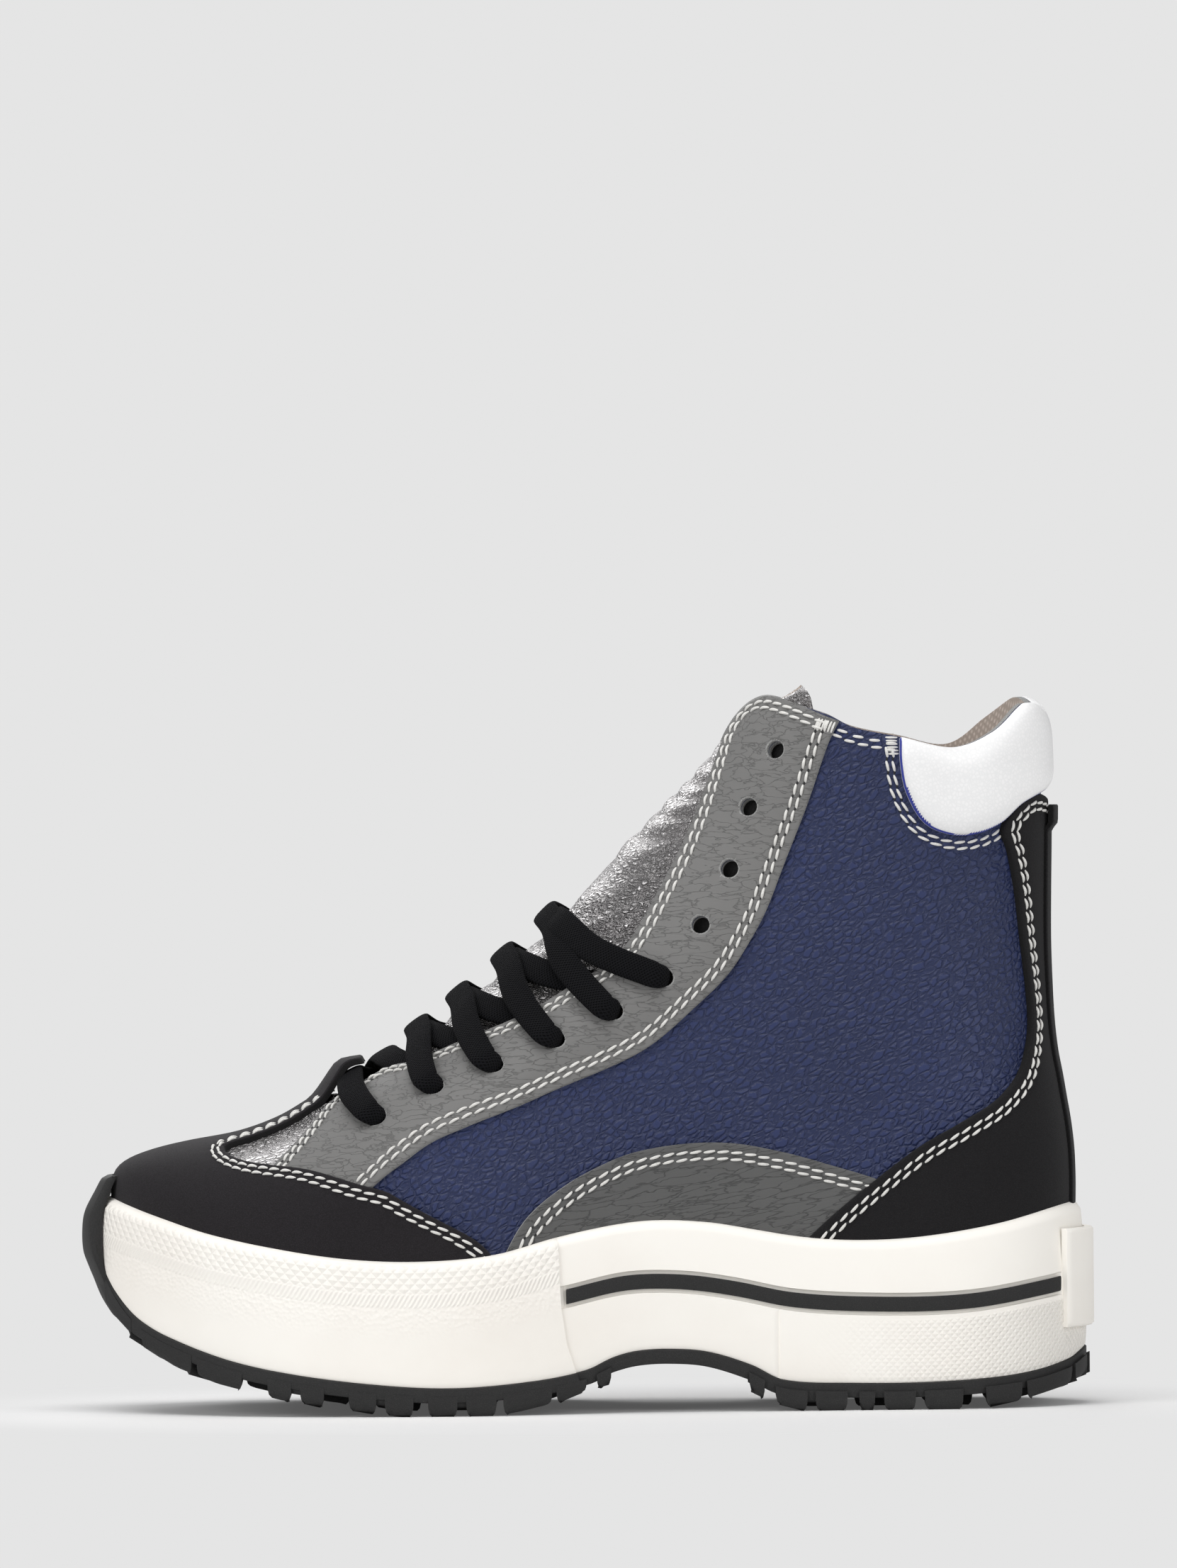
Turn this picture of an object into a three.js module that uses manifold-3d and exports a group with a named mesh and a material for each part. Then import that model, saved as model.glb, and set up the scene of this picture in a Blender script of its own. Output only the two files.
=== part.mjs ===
import * as THREE from "three";
import Module from "manifold-3d";

// A left high-top hiking shoe on a platform sole, standing empty and laced through its lower eyelets.
// Millimetres: +X runs from heel to toe, +Y to the outer side of the foot, +Z up from the ground.

// Sizes of the upper
const LAST_LENGTH = 261; // heel to toe of the upper
const BALL_WIDTH = 96; // across the ball of the foot
const ANKLE_WIDTH = 66; // across the ankle
const UPPER_HEIGHT = 160; // footbed to the top of the eyestays
const TOE_SWING = 8; // how far the toe lies inwards of the heel's line
const NOSE_ROUND = 60; // length over which a section closes at its front
const HEEL_ROUND = 34; // length over which a section closes at its back
const WALL = 2; // leather and lining of the upper
const OVERLAY = 1.2; // leather of the parts sewn on top
const PAD = 3.4; // padded collar
const BACKSTAY_WIDTH = 15;
const GAP = 0.3; // clearance between pieces that meet

// Sizes of the tongue, the laces and the insole
const TONGUE_THICKNESS = 3;
const TONGUE_GAP = 0.8; // clearance to the upper at the sides of the throat
const EYELET_RADIUS = 2.5;
const LACE_WIDTH = 8;
const LACE_THICKNESS = 1.8;
const LACE_GAP = 1.5; // a flat lace bridges the round of the eyestay
const RIDGE_LIFT = 1; // extra room under the crossings on the ridge
const INSOLE_THICKNESS = 4;
const INSOLE_LIFT = 0.5; // its underside over the footbed
const KEEPER_LIFT = 6.5; // how far the end of the vamp strip stands off the throat

// Sizes of the sole
const PLATFORM = 42; // footbed above the ground, at the heel
const RIM_HEIGHT = 15; // rubber rim above the footbed
const RIM_OUT = 5.6; // how far the sole stands out past the upper
const BUMPER_PROUD = 0.8; // step of the toe bumper
const BUMPER_SEAM = 0.53; // where the toe bumper ends, as a share of LAST_LENGTH
const SEAM_STEP = 0.004; // how sharply it ends, as an angle
const STRIPE_DEPTH = 0.8;
const GROOVE_DEPTH = 1.2;
const SLAB = 3.6; // outsole between its lugs
const LUG_PROUD = 0.9; // lugs past the edge of the slab
const CHANNEL = 5; // channels between the rows of lugs
const GUARD_THICKNESS = 4; // outsole where it wraps up over the toe
const TAG_THICKNESS = 2.2;
const TAG_HEIGHT = 27;
const TAG_LOW = 21.5;
const TAG_ANGLE = 0.36; // how far the tag reaches round the heel
const STRIPE_WIDTH = 4.1;
const GROOVE_MARGIN = 1.1; // groove above and below the stripe

// How finely the curved pieces are divided
const AROUND = 24;
const AROUND_SOLE = 24;
const UPPER_RINGS = [0.05, 0.11, 0.16, 0.21, 0.26, 0.31, 0.37, 0.44, 0.54, 0.66, 0.79, 0.92, 1.05];
const HOLE_SIDES = 6;

// Sections of the upper at rising levels. back and front are shares of LAST_LENGTH, nose a share of
// NOSE_ROUND, and full a share of the section's width.
const SECTIONS = [
  { up: -0.06, back: 0.008, front: 0.972, nose: 1.0, full: 0.92 },
  { up: 0.0, back: 0.004, front: 0.986, nose: 1.0, full: 0.955 },
  { up: 0.05, back: 0.001, front: 0.997, nose: 1.02, full: 0.985 },
  { up: 0.1, back: 0.0, front: 0.999, nose: 1.03, full: 1.0 },
  { up: 0.135, back: 0.0, front: 0.993, nose: 1.02, full: 1.0 },
  { up: 0.175, back: 0.001, front: 0.965, nose: 0.97, full: 1.0 },
  { up: 0.22, back: 0.004, front: 0.92, nose: 0.92, full: 1.0 },
  { up: 0.26, back: 0.008, front: 0.868, nose: 0.86, full: 1.0 },
  { up: 0.3, back: 0.012, front: 0.825, nose: 0.84, full: 1.0 },
  { up: 0.345, back: 0.017, front: 0.786, nose: 0.86, full: 1.0 },
  { up: 0.4, back: 0.0205, front: 0.728, nose: 0.93, full: 1.0 },
  { up: 0.47, back: 0.0225, front: 0.66, nose: 1.05, full: 1.0 },
  { up: 0.54, back: 0.0235, front: 0.6, nose: 1.13, full: 1.0 },
  { up: 0.62, back: 0.023, front: 0.534, nose: 1.15, full: 1.0 },
  { up: 0.71, back: 0.022, front: 0.477, nose: 1.07, full: 1.0 },
  { up: 0.8, back: 0.0215, front: 0.424, nose: 0.95, full: 1.0 },
  { up: 0.9, back: 0.0235, front: 0.374, nose: 0.83, full: 1.0 },
  { up: 1.0, back: 0.028, front: 0.325, nose: 0.73, full: 1.0 },
  { up: 1.08, back: 0.031, front: 0.288, nose: 0.66, full: 1.0 },
];

// The last from above. foot is a share of half BALL_WIDTH, shaft of half ANKLE_WIDTH, swing of TOE_SWING.
const PLAN = [
  { along: -0.03, foot: 0.66, shaft: 0.84, swing: 0.0 },
  { along: 0.1, foot: 0.67, shaft: 0.88, swing: 0.0 },
  { along: 0.25, foot: 0.675, shaft: 1.0, swing: 0.12 },
  { along: 0.38, foot: 0.7, shaft: 1.02, swing: 0.25 },
  { along: 0.5, foot: 0.8, shaft: 1.0, swing: 0.32 },
  { along: 0.6, foot: 0.945, shaft: 0.98, swing: 0.28 },
  { along: 0.68, foot: 1.0, shaft: 0.98, swing: 0.1 },
  { along: 0.76, foot: 0.995, shaft: 0.98, swing: -0.12 },
  { along: 0.85, foot: 0.965, shaft: 0.98, swing: -0.4 },
  { along: 0.93, foot: 0.91, shaft: 0.98, swing: -0.7 },
  { along: 1.03, foot: 0.86, shaft: 0.98, swing: -1.0 },
];

// Lines of the sole along the foot: footbed and midsole bottom as shares of PLATFORM, rim of RIM_HEIGHT.
const FOOTBED = [
  { along: -0.03, rise: 1.0 },
  { along: 0.0, rise: 1.0 },
  { along: 0.1, rise: 0.955 },
  { along: 0.2, rise: 0.915 },
  { along: 0.3, rise: 0.9 },
  { along: 0.4, rise: 0.895 },
  { along: 0.5, rise: 0.835 },
  { along: 0.6, rise: 0.745 },
  { along: 0.7, rise: 0.69 },
  { along: 0.8, rise: 0.715 },
  { along: 0.9, rise: 0.845 },
  { along: 1.0, rise: 1.07 },
  { along: 1.04, rise: 1.16 },
];
const RIM = [
  { along: -0.03, rise: 0.93 },
  { along: 0.0, rise: 0.84 },
  { along: 0.063, rise: 0.66 },
  { along: 0.15, rise: 0.54 },
  { along: 0.213, rise: 0.54 },
  { along: 0.272, rise: 0.62 },
  { along: 0.332, rise: 0.8 },
  { along: 0.377, rise: 0.93 },
  { along: 0.45, rise: 1.04 },
  { along: 0.534, rise: 0.95 },
  { along: 0.601, rise: 0.83 },
  { along: 0.7, rise: 0.88 },
  { along: 0.825, rise: 0.96 },
  { along: 0.945, rise: 0.86 },
  { along: 0.99, rise: 0.81 },
  { along: 1.04, rise: 0.8 },
];
const MIDSOLE_BOTTOM = [
  { along: -0.03, rise: 0.39 },
  { along: -0.022, rise: 0.374 },
  { along: -0.002, rise: 0.298 },
  { along: 0.05, rise: 0.219 },
  { along: 0.14, rise: 0.176 },
  { along: 0.23, rise: 0.174 },
  { along: 0.3, rise: 0.2 },
  { along: 0.334, rise: 0.3 },
  { along: 0.379, rise: 0.388 },
  { along: 0.42, rise: 0.41 },
  { along: 0.453, rise: 0.4 },
  { along: 0.476, rise: 0.364 },
  { along: 0.505, rise: 0.283 },
  { along: 0.559, rise: 0.219 },
  { along: 0.648, rise: 0.179 },
  { along: 0.738, rise: 0.212 },
  { along: 0.827, rise: 0.288 },
  { along: 0.887, rise: 0.374 },
  { along: 0.946, rise: 0.51 },
  { along: 0.972, rise: 0.6 },
  { along: 0.987, rise: 0.683 },
  { along: 1.002, rise: 0.805 },
  { along: 1.013, rise: 0.933 },
  { along: 1.03, rise: 1.1 },
];

// How far the wall of the midsole stands out, from its bottom edge to its rim, as shares of RIM_OUT
const SOLE_WALL = [
  { height: 0.0, out: 0.94 },
  { height: 0.12, out: 1.0 },
  { height: 0.55, out: 0.98 },
  { height: 0.93, out: 0.78 },
  { height: 1.0, out: 0.63 },
];
// Places along the foot where the midsole's bottom bends most
const ARCH_STATIONS = [0.288, 0.308, 0.334, 0.365, 0.42, 0.465, 0.485, 0.505];

// Undersides of the lugs as shares of PLATFORM: heel and forefoot each have a flat spot on the ground.
const TREAD = [
  { along: -0.03, rise: 0.21 },
  { along: 0.006, rise: 0.12 },
  { along: 0.051, rise: 0.045 },
  { along: 0.1, rise: 0.0 },
  { along: 0.28, rise: 0.0 },
  { along: 0.31, rise: 0.05 },
  { along: 0.335, rise: 0.13 },
  { along: 0.48, rise: 0.19 },
  { along: 0.502, rise: 0.157 },
  { along: 0.529, rise: 0.09 },
  { along: 0.574, rise: 0.028 },
  { along: 0.6, rise: 0.0 },
  { along: 0.7, rise: 0.0 },
  { along: 0.776, rise: 0.06 },
  { along: 0.828, rise: 0.112 },
  { along: 0.895, rise: 0.212 },
  { along: 0.939, rise: 0.312 },
  { along: 0.976, rise: 0.445 },
  { along: 1.006, rise: 0.63 },
  { along: 1.028, rise: 0.88 },
];
const EDGE_LUGS = [
  { from: -0.022, to: 0.0 },
  { from: 0.003, to: 0.014 },
  { from: 0.017, to: 0.058 },
  { from: 0.062, to: 0.095 },
  { from: 0.115, to: 0.153 },
  { from: 0.162, to: 0.196 },
  { from: 0.205, to: 0.222 },
  { from: 0.234, to: 0.31 },
  { from: 0.321, to: 0.338 },
  { from: 0.485, to: 0.501 },
  { from: 0.512, to: 0.545 },
  { from: 0.549, to: 0.598 },
  { from: 0.604, to: 0.672 },
  { from: 0.686, to: 0.752 },
  { from: 0.776, to: 0.831 },
  { from: 0.855, to: 0.9 },
  { from: 0.905, to: 0.955 },
  { from: 0.965, to: 0.99 },
];
const MIDDLE_LUGS = [
  { from: 0.03, to: 0.075 },
  { from: 0.1, to: 0.15 },
  { from: 0.175, to: 0.225 },
  { from: 0.25, to: 0.295 },
  { from: 0.53, to: 0.58 },
  { from: 0.605, to: 0.655 },
  { from: 0.68, to: 0.73 },
  { from: 0.755, to: 0.8 },
  { from: 0.825, to: 0.865 },
  { from: 0.89, to: 0.925 },
];

const MIDDLE_SHARE = 0.36; // width of the middle row of lugs, as a share of the foot's

// Outer face of the toe guard: heights as shares of PLATFORM, out as shares of GUARD_THICKNESS past the last.
const GUARD = [
  { rise: 0.6, inside: -0.6, out: 0.3 },
  { rise: 0.74, inside: 0.6, out: 1.2 },
  { rise: 0.88, inside: 1.35, out: 1.8 },
  { rise: 0.95, inside: 1.68, out: 2.1 },
  { rise: 1.05, inside: 1.7, out: 2.45 },
  { rise: 1.2, inside: 1.62, out: 2.5 },
  { rise: 1.31, inside: 1.5, out: 2.3 },
  { rise: 1.45, inside: 0.9, out: 1.55 },
  { rise: 1.54, inside: 0.42, out: 1.05 },
];
const GUARD_ANGLE = 0.3; // how far the guard reaches round the toe
const GUARD_NARROW = 0.75; // its width at the top, as a share

// Cut edges of the leather, drawn from the side: along is a share of LAST_LENGTH, up of UPPER_HEIGHT.
const TOP_EDGE = [
  { along: 0.757, up: 0.36 },
  { along: 0.714, up: 0.402 },
  { along: 0.682, up: 0.416 },
  { along: 0.628, up: 0.446 },
  { along: 0.564, up: 0.478 },
  { along: 0.517, up: 0.513 },
  { along: 0.47, up: 0.554 },
  { along: 0.432, up: 0.64 },
  { along: 0.401, up: 0.736 },
  { along: 0.37, up: 0.857 },
  { along: 0.347, up: 0.935 },
  { along: 0.324, up: 0.972 },
  { along: 0.3, up: 0.981 },
  { along: 0.25, up: 0.952 },
  { along: 0.22, up: 0.927 },
  { along: 0.171, up: 0.906 },
  { along: 0.116, up: 0.881 },
  { along: 0.071, up: 0.9 },
  { along: 0.04, up: 0.943 },
  { along: 0.0, up: 0.955 },
];
const EYESTAY_FRONT = [
  { along: 0.835, up: 0.215 },
  { along: 0.809, up: 0.269 },
  { along: 0.779, up: 0.33 },
  { along: 0.757, up: 0.36 },
];
const EYESTAY_BACK = [
  { along: 0.235, up: 0.938 },
  { along: 0.246, up: 0.903 },
  { along: 0.266, up: 0.812 },
  { along: 0.297, up: 0.685 },
  { along: 0.343, up: 0.534 },
  { along: 0.388, up: 0.456 },
  { along: 0.449, up: 0.384 },
  { along: 0.554, up: 0.333 },
  { along: 0.629, up: 0.301 },
  { along: 0.674, up: 0.274 },
  { along: 0.727, up: 0.21 },
];
const TOE_CAP = [
  { along: 0.594, up: 0.03 },
  { along: 0.609, up: 0.087 },
  { along: 0.646, up: 0.135 },
  { along: 0.705, up: 0.194 },
  { along: 0.735, up: 0.21 },
  { along: 0.794, up: 0.228 },
  { along: 0.862, up: 0.221 },
  { along: 0.88, up: 0.229 },
  { along: 0.869, up: 0.247 },
  { along: 0.824, up: 0.294 },
  { along: 0.793, up: 0.337 },
  { along: 0.766, up: 0.372 },
];
const SIDE_PANEL = [
  { along: 0.606, up: 0.03 },
  { along: 0.575, up: 0.118 },
  { along: 0.545, up: 0.16 },
  { along: 0.503, up: 0.193 },
  { along: 0.45, up: 0.217 },
  { along: 0.361, up: 0.222 },
  { along: 0.301, up: 0.206 },
  { along: 0.242, up: 0.177 },
  { along: 0.206, up: 0.157 },
];
const COUNTER = [
  { along: 0.29, up: 0.03 },
  { along: 0.272, up: 0.059 },
  { along: 0.235, up: 0.111 },
  { along: 0.163, up: 0.196 },
  { along: 0.114, up: 0.237 },
  { along: 0.069, up: 0.279 },
  { along: 0.045, up: 0.34 },
  { along: 0.04, up: 0.42 },
  { along: 0.051, up: 0.594 },
  { along: 0.057, up: 0.692 },
  { along: 0.055, up: 0.74 },
  { along: 0.034, up: 0.774 },
  { along: 0.0, up: 0.79 },
];
const COLLAR_PAD = [
  { along: 0.168, up: 0.93 },
  { along: 0.168, up: 0.855 },
  { along: 0.158, up: 0.79 },
  { along: 0.135, up: 0.74 },
  { along: 0.113, up: 0.727 },
  { along: 0.09, up: 0.728 },
  { along: 0.065, up: 0.745 },
  { along: 0.04, up: 0.782 },
  { along: 0.0, up: 0.8 },
];
const STRIPE_TOP = [
  { along: 0.532, up: 0.0 },
  { along: 0.467, up: 0.009 },
  { along: 0.415, up: 0.003 },
  { along: 0.348, up: -0.014 },
  { along: 0.288, up: -0.034 },
  { along: 0.214, up: -0.045 },
  { along: 0.109, up: -0.053 },
  { along: 0.02, up: -0.042 },
];

// Eyelets from the toe upwards. The first five pairs are laced, and crossing and tuck are the places on
// the ridge and on the far throat edge where a strand from that eyelet passes.
const EYELETS = [
  { along: 0.721, up: 0.322, crossing: 0.712, tuck: 0.688 },
  { along: 0.661, up: 0.369, crossing: 0.673, tuck: 0.628 },
  { along: 0.599, up: 0.396, crossing: 0.629, tuck: 0.567 },
  { along: 0.535, up: 0.425, crossing: 0.581, tuck: 0.508 },
  { along: 0.474, up: 0.46, crossing: 0.534, tuck: 0.421 },
  { along: 0.421, up: 0.508 },
  { along: 0.382, up: 0.594 },
  { along: 0.351, up: 0.689 },
  { along: 0.33, up: 0.794 },
  { along: 0.301, up: 0.891 },
];
const LACED = 5;

// A strand from its eyelet: round is a share of the angle to the side it leaves or comes to, rise a share
// of the way between the two levels, and lift of WALL.
const STRAND_OUT = [
  { round: 1, rise: 0, lift: 0 },
  { round: 0.62, rise: 0.42, lift: 0.5 },
  { round: 0.3, rise: 0.78, lift: 0 },
];
const STRAND_TUCKED = [
  { round: 0.35, rise: 0.35 },
  { round: 0.6, rise: 0.64 },
];
const STRAND_OPEN = [
  { round: 0.42, rise: 0.3, lift: 0.5 },
  { round: 0.75, rise: 0.7, lift: 0.5 },
  { round: 1, rise: 1, lift: 0 },
];

// Tongue: bottom and top levels, half its width as an angle round the section
const TONGUE = [
  { up: 0.385, reach: 0.42 },
  { up: 0.43, reach: 0.62 },
  { up: 0.5, reach: 0.86 },
  { up: 0.62, reach: 1.05 },
  { up: 0.8, reach: 1.08 },
  { up: 0.92, reach: 1.05 },
  { up: 1.012, reach: 0.85 },
];
// Levels between which it swells up in the throat
const SWELL = { from: 0.42, full: 0.5, fade: 0.74, end: 0.9, share: 0.92 };
const KEEPER = [
  { up: 0.33, reach: 0.23 },
  { up: 0.394, reach: 0.2 },
];

// Straight and smooth readings of a table between its rows
function span(rows, key, value) {
  const last = rows.length - 2;
  const down = rows[0][key] > rows[last + 1][key];
  let i = 0;
  while (i < last && (down ? value < rows[i + 1][key] : value > rows[i + 1][key])) i += 1;
  const share = (value - rows[i][key]) / (rows[i + 1][key] - rows[i][key]);
  return { i, share: Math.min(1, Math.max(0, share)) };
}
function straight(rows, key, column, value) {
  const { i, share } = span(rows, key, value);
  return THREE.MathUtils.lerp(rows[i][column], rows[i + 1][column], share);
}
function smooth(rows, key, column, value) {
  const { i, share } = span(rows, key, value);
  const slope = (n) => {
    const before = rows[Math.max(0, n - 1)];
    const after = rows[Math.min(rows.length - 1, n + 1)];
    return (after[column] - before[column]) / (after[key] - before[key]);
  };
  const width = rows[i + 1][key] - rows[i][key];
  const s2 = share * share;
  const s3 = s2 * share;
  return (
    (2 * s3 - 3 * s2 + 1) * rows[i][column] +
    (s3 - 2 * s2 + share) * width * slope(i) +
    (3 * s2 - 2 * s3) * rows[i + 1][column] +
    (s3 - s2) * width * slope(i + 1)
  );
}

// Lines of the sole at a place along the foot
const footbed = (x) => PLATFORM * smooth(FOOTBED, "along", "rise", x / LAST_LENGTH);
const rim = (x) => footbed(x) + RIM_HEIGHT * smooth(RIM, "along", "rise", x / LAST_LENGTH);
const midsoleBottom = (x) => PLATFORM * smooth(MIDSOLE_BOTTOM, "along", "rise", x / LAST_LENGTH);
const tread = (x) => PLATFORM * straight(TREAD, "along", "rise", x / LAST_LENGTH);

// The upper's own function: a point of the last at an angle round the section of a level. The angle
// starts at the front and turns to the outer side of the foot.
function section(up) {
  const back = LAST_LENGTH * smooth(SECTIONS, "up", "back", up);
  const front = LAST_LENGTH * smooth(SECTIONS, "up", "front", up);
  return { middle: (front + back) / 2, half: (front - back) / 2, back, front };
}
const rounded = (distance, length) => {
  const s = Math.min(1, Math.max(0, distance / length));
  return Math.sqrt(1 - (1 - s) * (1 - s));
};
function lastPoint(angle, up) {
  const { middle, half, back, front } = section(up);
  const x = middle + half * Math.cos(angle);
  const along = x / LAST_LENGTH;
  const shaft = THREE.MathUtils.smoothstep(up, 0.15, 0.65);
  const foot = (BALL_WIDTH / 2) * smooth(PLAN, "along", "foot", along);
  const ankle = (ANKLE_WIDTH / 2) * smooth(PLAN, "along", "shaft", along);
  const nose = NOSE_ROUND * smooth(SECTIONS, "up", "nose", up);
  const width =
    THREE.MathUtils.lerp(foot, ankle, shaft) *
    smooth(SECTIONS, "up", "full", up) *
    rounded(front - x, nose) *
    rounded(x - back, HEEL_ROUND);
  const swing = TOE_SWING * smooth(PLAN, "along", "swing", along) * (1 - shaft);
  const y = swing + Math.sign(Math.sin(angle)) * width;
  return new THREE.Vector3(x, y, footbed(x) + up * UPPER_HEIGHT);
}
function upperNormal(angle, up) {
  const step = 0.02;
  const round = lastPoint(angle + step, up).sub(lastPoint(angle - step, up));
  const rise = lastPoint(angle, up + step).sub(lastPoint(angle, up - step));
  return round.cross(rise).normalize();
}
function upperPoint(angle, up, out) {
  return lastPoint(angle, up).addScaledVector(upperNormal(angle, up), out);
}
const angleAt = (along, up) => {
  const { middle, half } = section(up);
  return Math.acos(THREE.MathUtils.clamp((along * LAST_LENGTH - middle) / half, -1, 1));
};

// The sole's outline: the last's own outline at the rim, moved outwards
const RIM_LEVEL = 0.085;
function solePoint(angle, out) {
  const step = 0.02;
  const here = lastPoint(angle, RIM_LEVEL);
  const round = lastPoint(angle + step, RIM_LEVEL).sub(lastPoint(angle - step, RIM_LEVEL));
  const normal = new THREE.Vector3(round.y, -round.x, 0).normalize();
  return here.addScaledVector(normal, out).setZ(0);
}

// Solids, as closed shells of shared points
const wasm = await Module();
wasm.setup();
function shell(points, faces) {
  const vertProperties = new Float32Array(points.flatMap((p) => [p.x, p.y, p.z]));
  const build = (list) =>
    new wasm.Manifold(new wasm.Mesh({ numProp: 3, vertProperties, triVerts: new Uint32Array(list.flat()) }));
  const made = build(faces);
  return made.volume() > 0 ? made : build(faces.map(([a, b, c]) => [a, c, b]));
}
// Rings stacked on each other and closed by a flat ladder of faces at both ends
function stack(rings) {
  const n = rings[0].length;
  const faces = [];
  for (let r = 0; r < rings.length - 1; r += 1) {
    for (let i = 0; i < n; i += 1) {
      const a = r * n + i;
      const b = r * n + ((i + 1) % n);
      faces.push([a, b, b + n], [a, b + n, a + n]);
    }
  }
  const lid = (start, turned) => {
    for (let i = 0; i < n / 2; i += 1) {
      const [a, b, c, d] = [i, i + 1, n - i - 1, (n - i) % n].map((k) => start + k);
      const quad = [];
      if (a !== d) quad.push([a, c, d]);
      if (b !== c) quad.push([a, b, c]);
      quad.forEach(([p, q, s]) => faces.push(turned ? [p, s, q] : [p, q, s]));
    }
  };
  lid(0, true);
  lid((rings.length - 1) * n, false);
  return shell(rings.flat(), faces);
}
// A sheet with two faces, laid out over two running shares from 0 to 1
function sheet(columns, rows, outer, inner) {
  const points = [];
  const faces = [];
  const at = (side, i, j) => side * (columns + 1) * (rows + 1) + j * (columns + 1) + i;
  [outer, inner].forEach((face) => {
    for (let j = 0; j <= rows; j += 1) {
      for (let i = 0; i <= columns; i += 1) points.push(face(i / columns, j / rows));
    }
  });
  const quad = (a, b, c, d) => faces.push([a, b, c], [a, c, d]);
  for (let j = 0; j < rows; j += 1) {
    for (let i = 0; i < columns; i += 1) {
      quad(at(0, i, j), at(0, i + 1, j), at(0, i + 1, j + 1), at(0, i, j + 1));
      quad(at(1, i, j), at(1, i, j + 1), at(1, i + 1, j + 1), at(1, i + 1, j));
    }
    quad(at(0, 0, j), at(0, 0, j + 1), at(1, 0, j + 1), at(1, 0, j));
    quad(at(0, columns, j), at(1, columns, j), at(1, columns, j + 1), at(0, columns, j + 1));
  }
  for (let i = 0; i < columns; i += 1) {
    quad(at(0, i, 0), at(1, i, 0), at(1, i + 1, 0), at(0, i + 1, 0));
    quad(at(0, i, rows), at(0, i + 1, rows), at(1, i + 1, rows), at(1, i, rows));
  }
  return shell(points, faces);
}
function fromGeometry(geometry) {
  const loose = geometry.index ? geometry.toNonIndexed() : geometry;
  const position = loose.getAttribute("position");
  const seen = new Map();
  const points = [];
  const corners = [];
  for (let i = 0; i < position.count; i += 1) {
    const p = new THREE.Vector3().fromBufferAttribute(position, i);
    const key = p.toArray().map((v) => v.toFixed(4)).join();
    if (!seen.has(key)) seen.set(key, points.push(p) - 1);
    corners.push(seen.get(key));
  }
  const faces = [];
  for (let i = 0; i < corners.length; i += 3) faces.push(corners.slice(i, i + 3));
  return shell(points, faces.filter(([a, b, c]) => a !== b && b !== c && a !== c));
}
const union = (solids) => solids.reduce((a, b) => a.add(b));

// A prism across the shoe whose outline is drawn from the side, in x and z
const ACROSS = 160;
function prism(outline, low = -ACROSS / 2, high = ACROSS / 2) {
  const shape = new THREE.Shape(outline.map((p) => new THREE.Vector2(p.x, p.y)));
  const geometry = new THREE.ExtrudeGeometry(shape, { depth: high - low, bevelEnabled: false, steps: 1 });
  return fromGeometry(geometry.rotateX(Math.PI / 2).translate(0, high, 0));
}
const place = ({ along, up }) =>
  new THREE.Vector2(along * LAST_LENGTH, footbed(along * LAST_LENGTH) + up * UPPER_HEIGHT);
function edge(rows, steps = 2) {
  const curve = new THREE.SplineCurve(rows.map(place));
  return curve.getPoints(steps * (rows.length - 1));
}
// The same outline a little larger all round
function grown(outline, by) {
  const n = outline.length;
  const turn = THREE.ShapeUtils.area(outline) > 0 ? 1 : -1;
  return outline.map((p, i) => {
    const run = outline[(i + 1) % n].clone().sub(outline[(i + n - 1) % n]).normalize();
    return new THREE.Vector2(p.x + turn * by * run.y, p.y - turn * by * run.x);
  });
}

// The last as a closed form, this far outside its own surface
function form(out, lowest = 0) {
  return stack(
    [lowest, ...UPPER_RINGS].map((up) => {
      const ring = [];
      for (let i = 0; i < AROUND; i += 1) ring.push(upperPoint((i / AROUND) * 2 * Math.PI, up, out));
      return ring;
    }),
  );
}
const LIFT = GAP + OVERLAY; // outer face of a part sewn on the upper
const outerForm = form(0);
const seatForm = form(GAP);
const overlayForm = form(LIFT);
const clearForm = form(LIFT + GAP, -GAP / UPPER_HEIGHT);
const overlaySkin = overlayForm.subtract(seatForm);

// Regions seen from the side
const HEM = 0.03; // level of the lower edges, hidden behind the rim
const AHEAD = 1.1; // past the toe
const BEHIND = -0.1; // past the heel
const at = (along, up) => place({ along, up });
const hem = (from, to) => [0, 0.2, 0.4, 0.6, 0.8, 1].map((t) => at(THREE.MathUtils.lerp(from, to, t), HEM));
const topLine = edge(TOP_EDGE, 1);
const keepUpper = [at(AHEAD, -1), at(AHEAD, 0.36), ...topLine, at(BEHIND, 0.955), at(BEHIND, -1)];
const toeCapOutline = [...edge(TOE_CAP, 1), at(0.77, 0.5), at(AHEAD, 0.5), ...hem(AHEAD, 0.61)];
const counterOutline = [...edge(COUNTER, 1), at(BEHIND, 0.79), ...hem(BEHIND, 0.28)];
const eyestayOutline = [...edge(EYESTAY_FRONT, 1), ...topLine.slice(1, 14), ...edge(EYESTAY_BACK, 1)];
const sidePanelOutline = [...edge(SIDE_PANEL, 1), at(0.23, 0.1), ...hem(0.3, 0.59)];
const padOutline = [...edge(COLLAR_PAD, 1), at(BEHIND, 0.8), at(BEHIND, 1.04), at(0.168, 1.04)];

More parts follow.
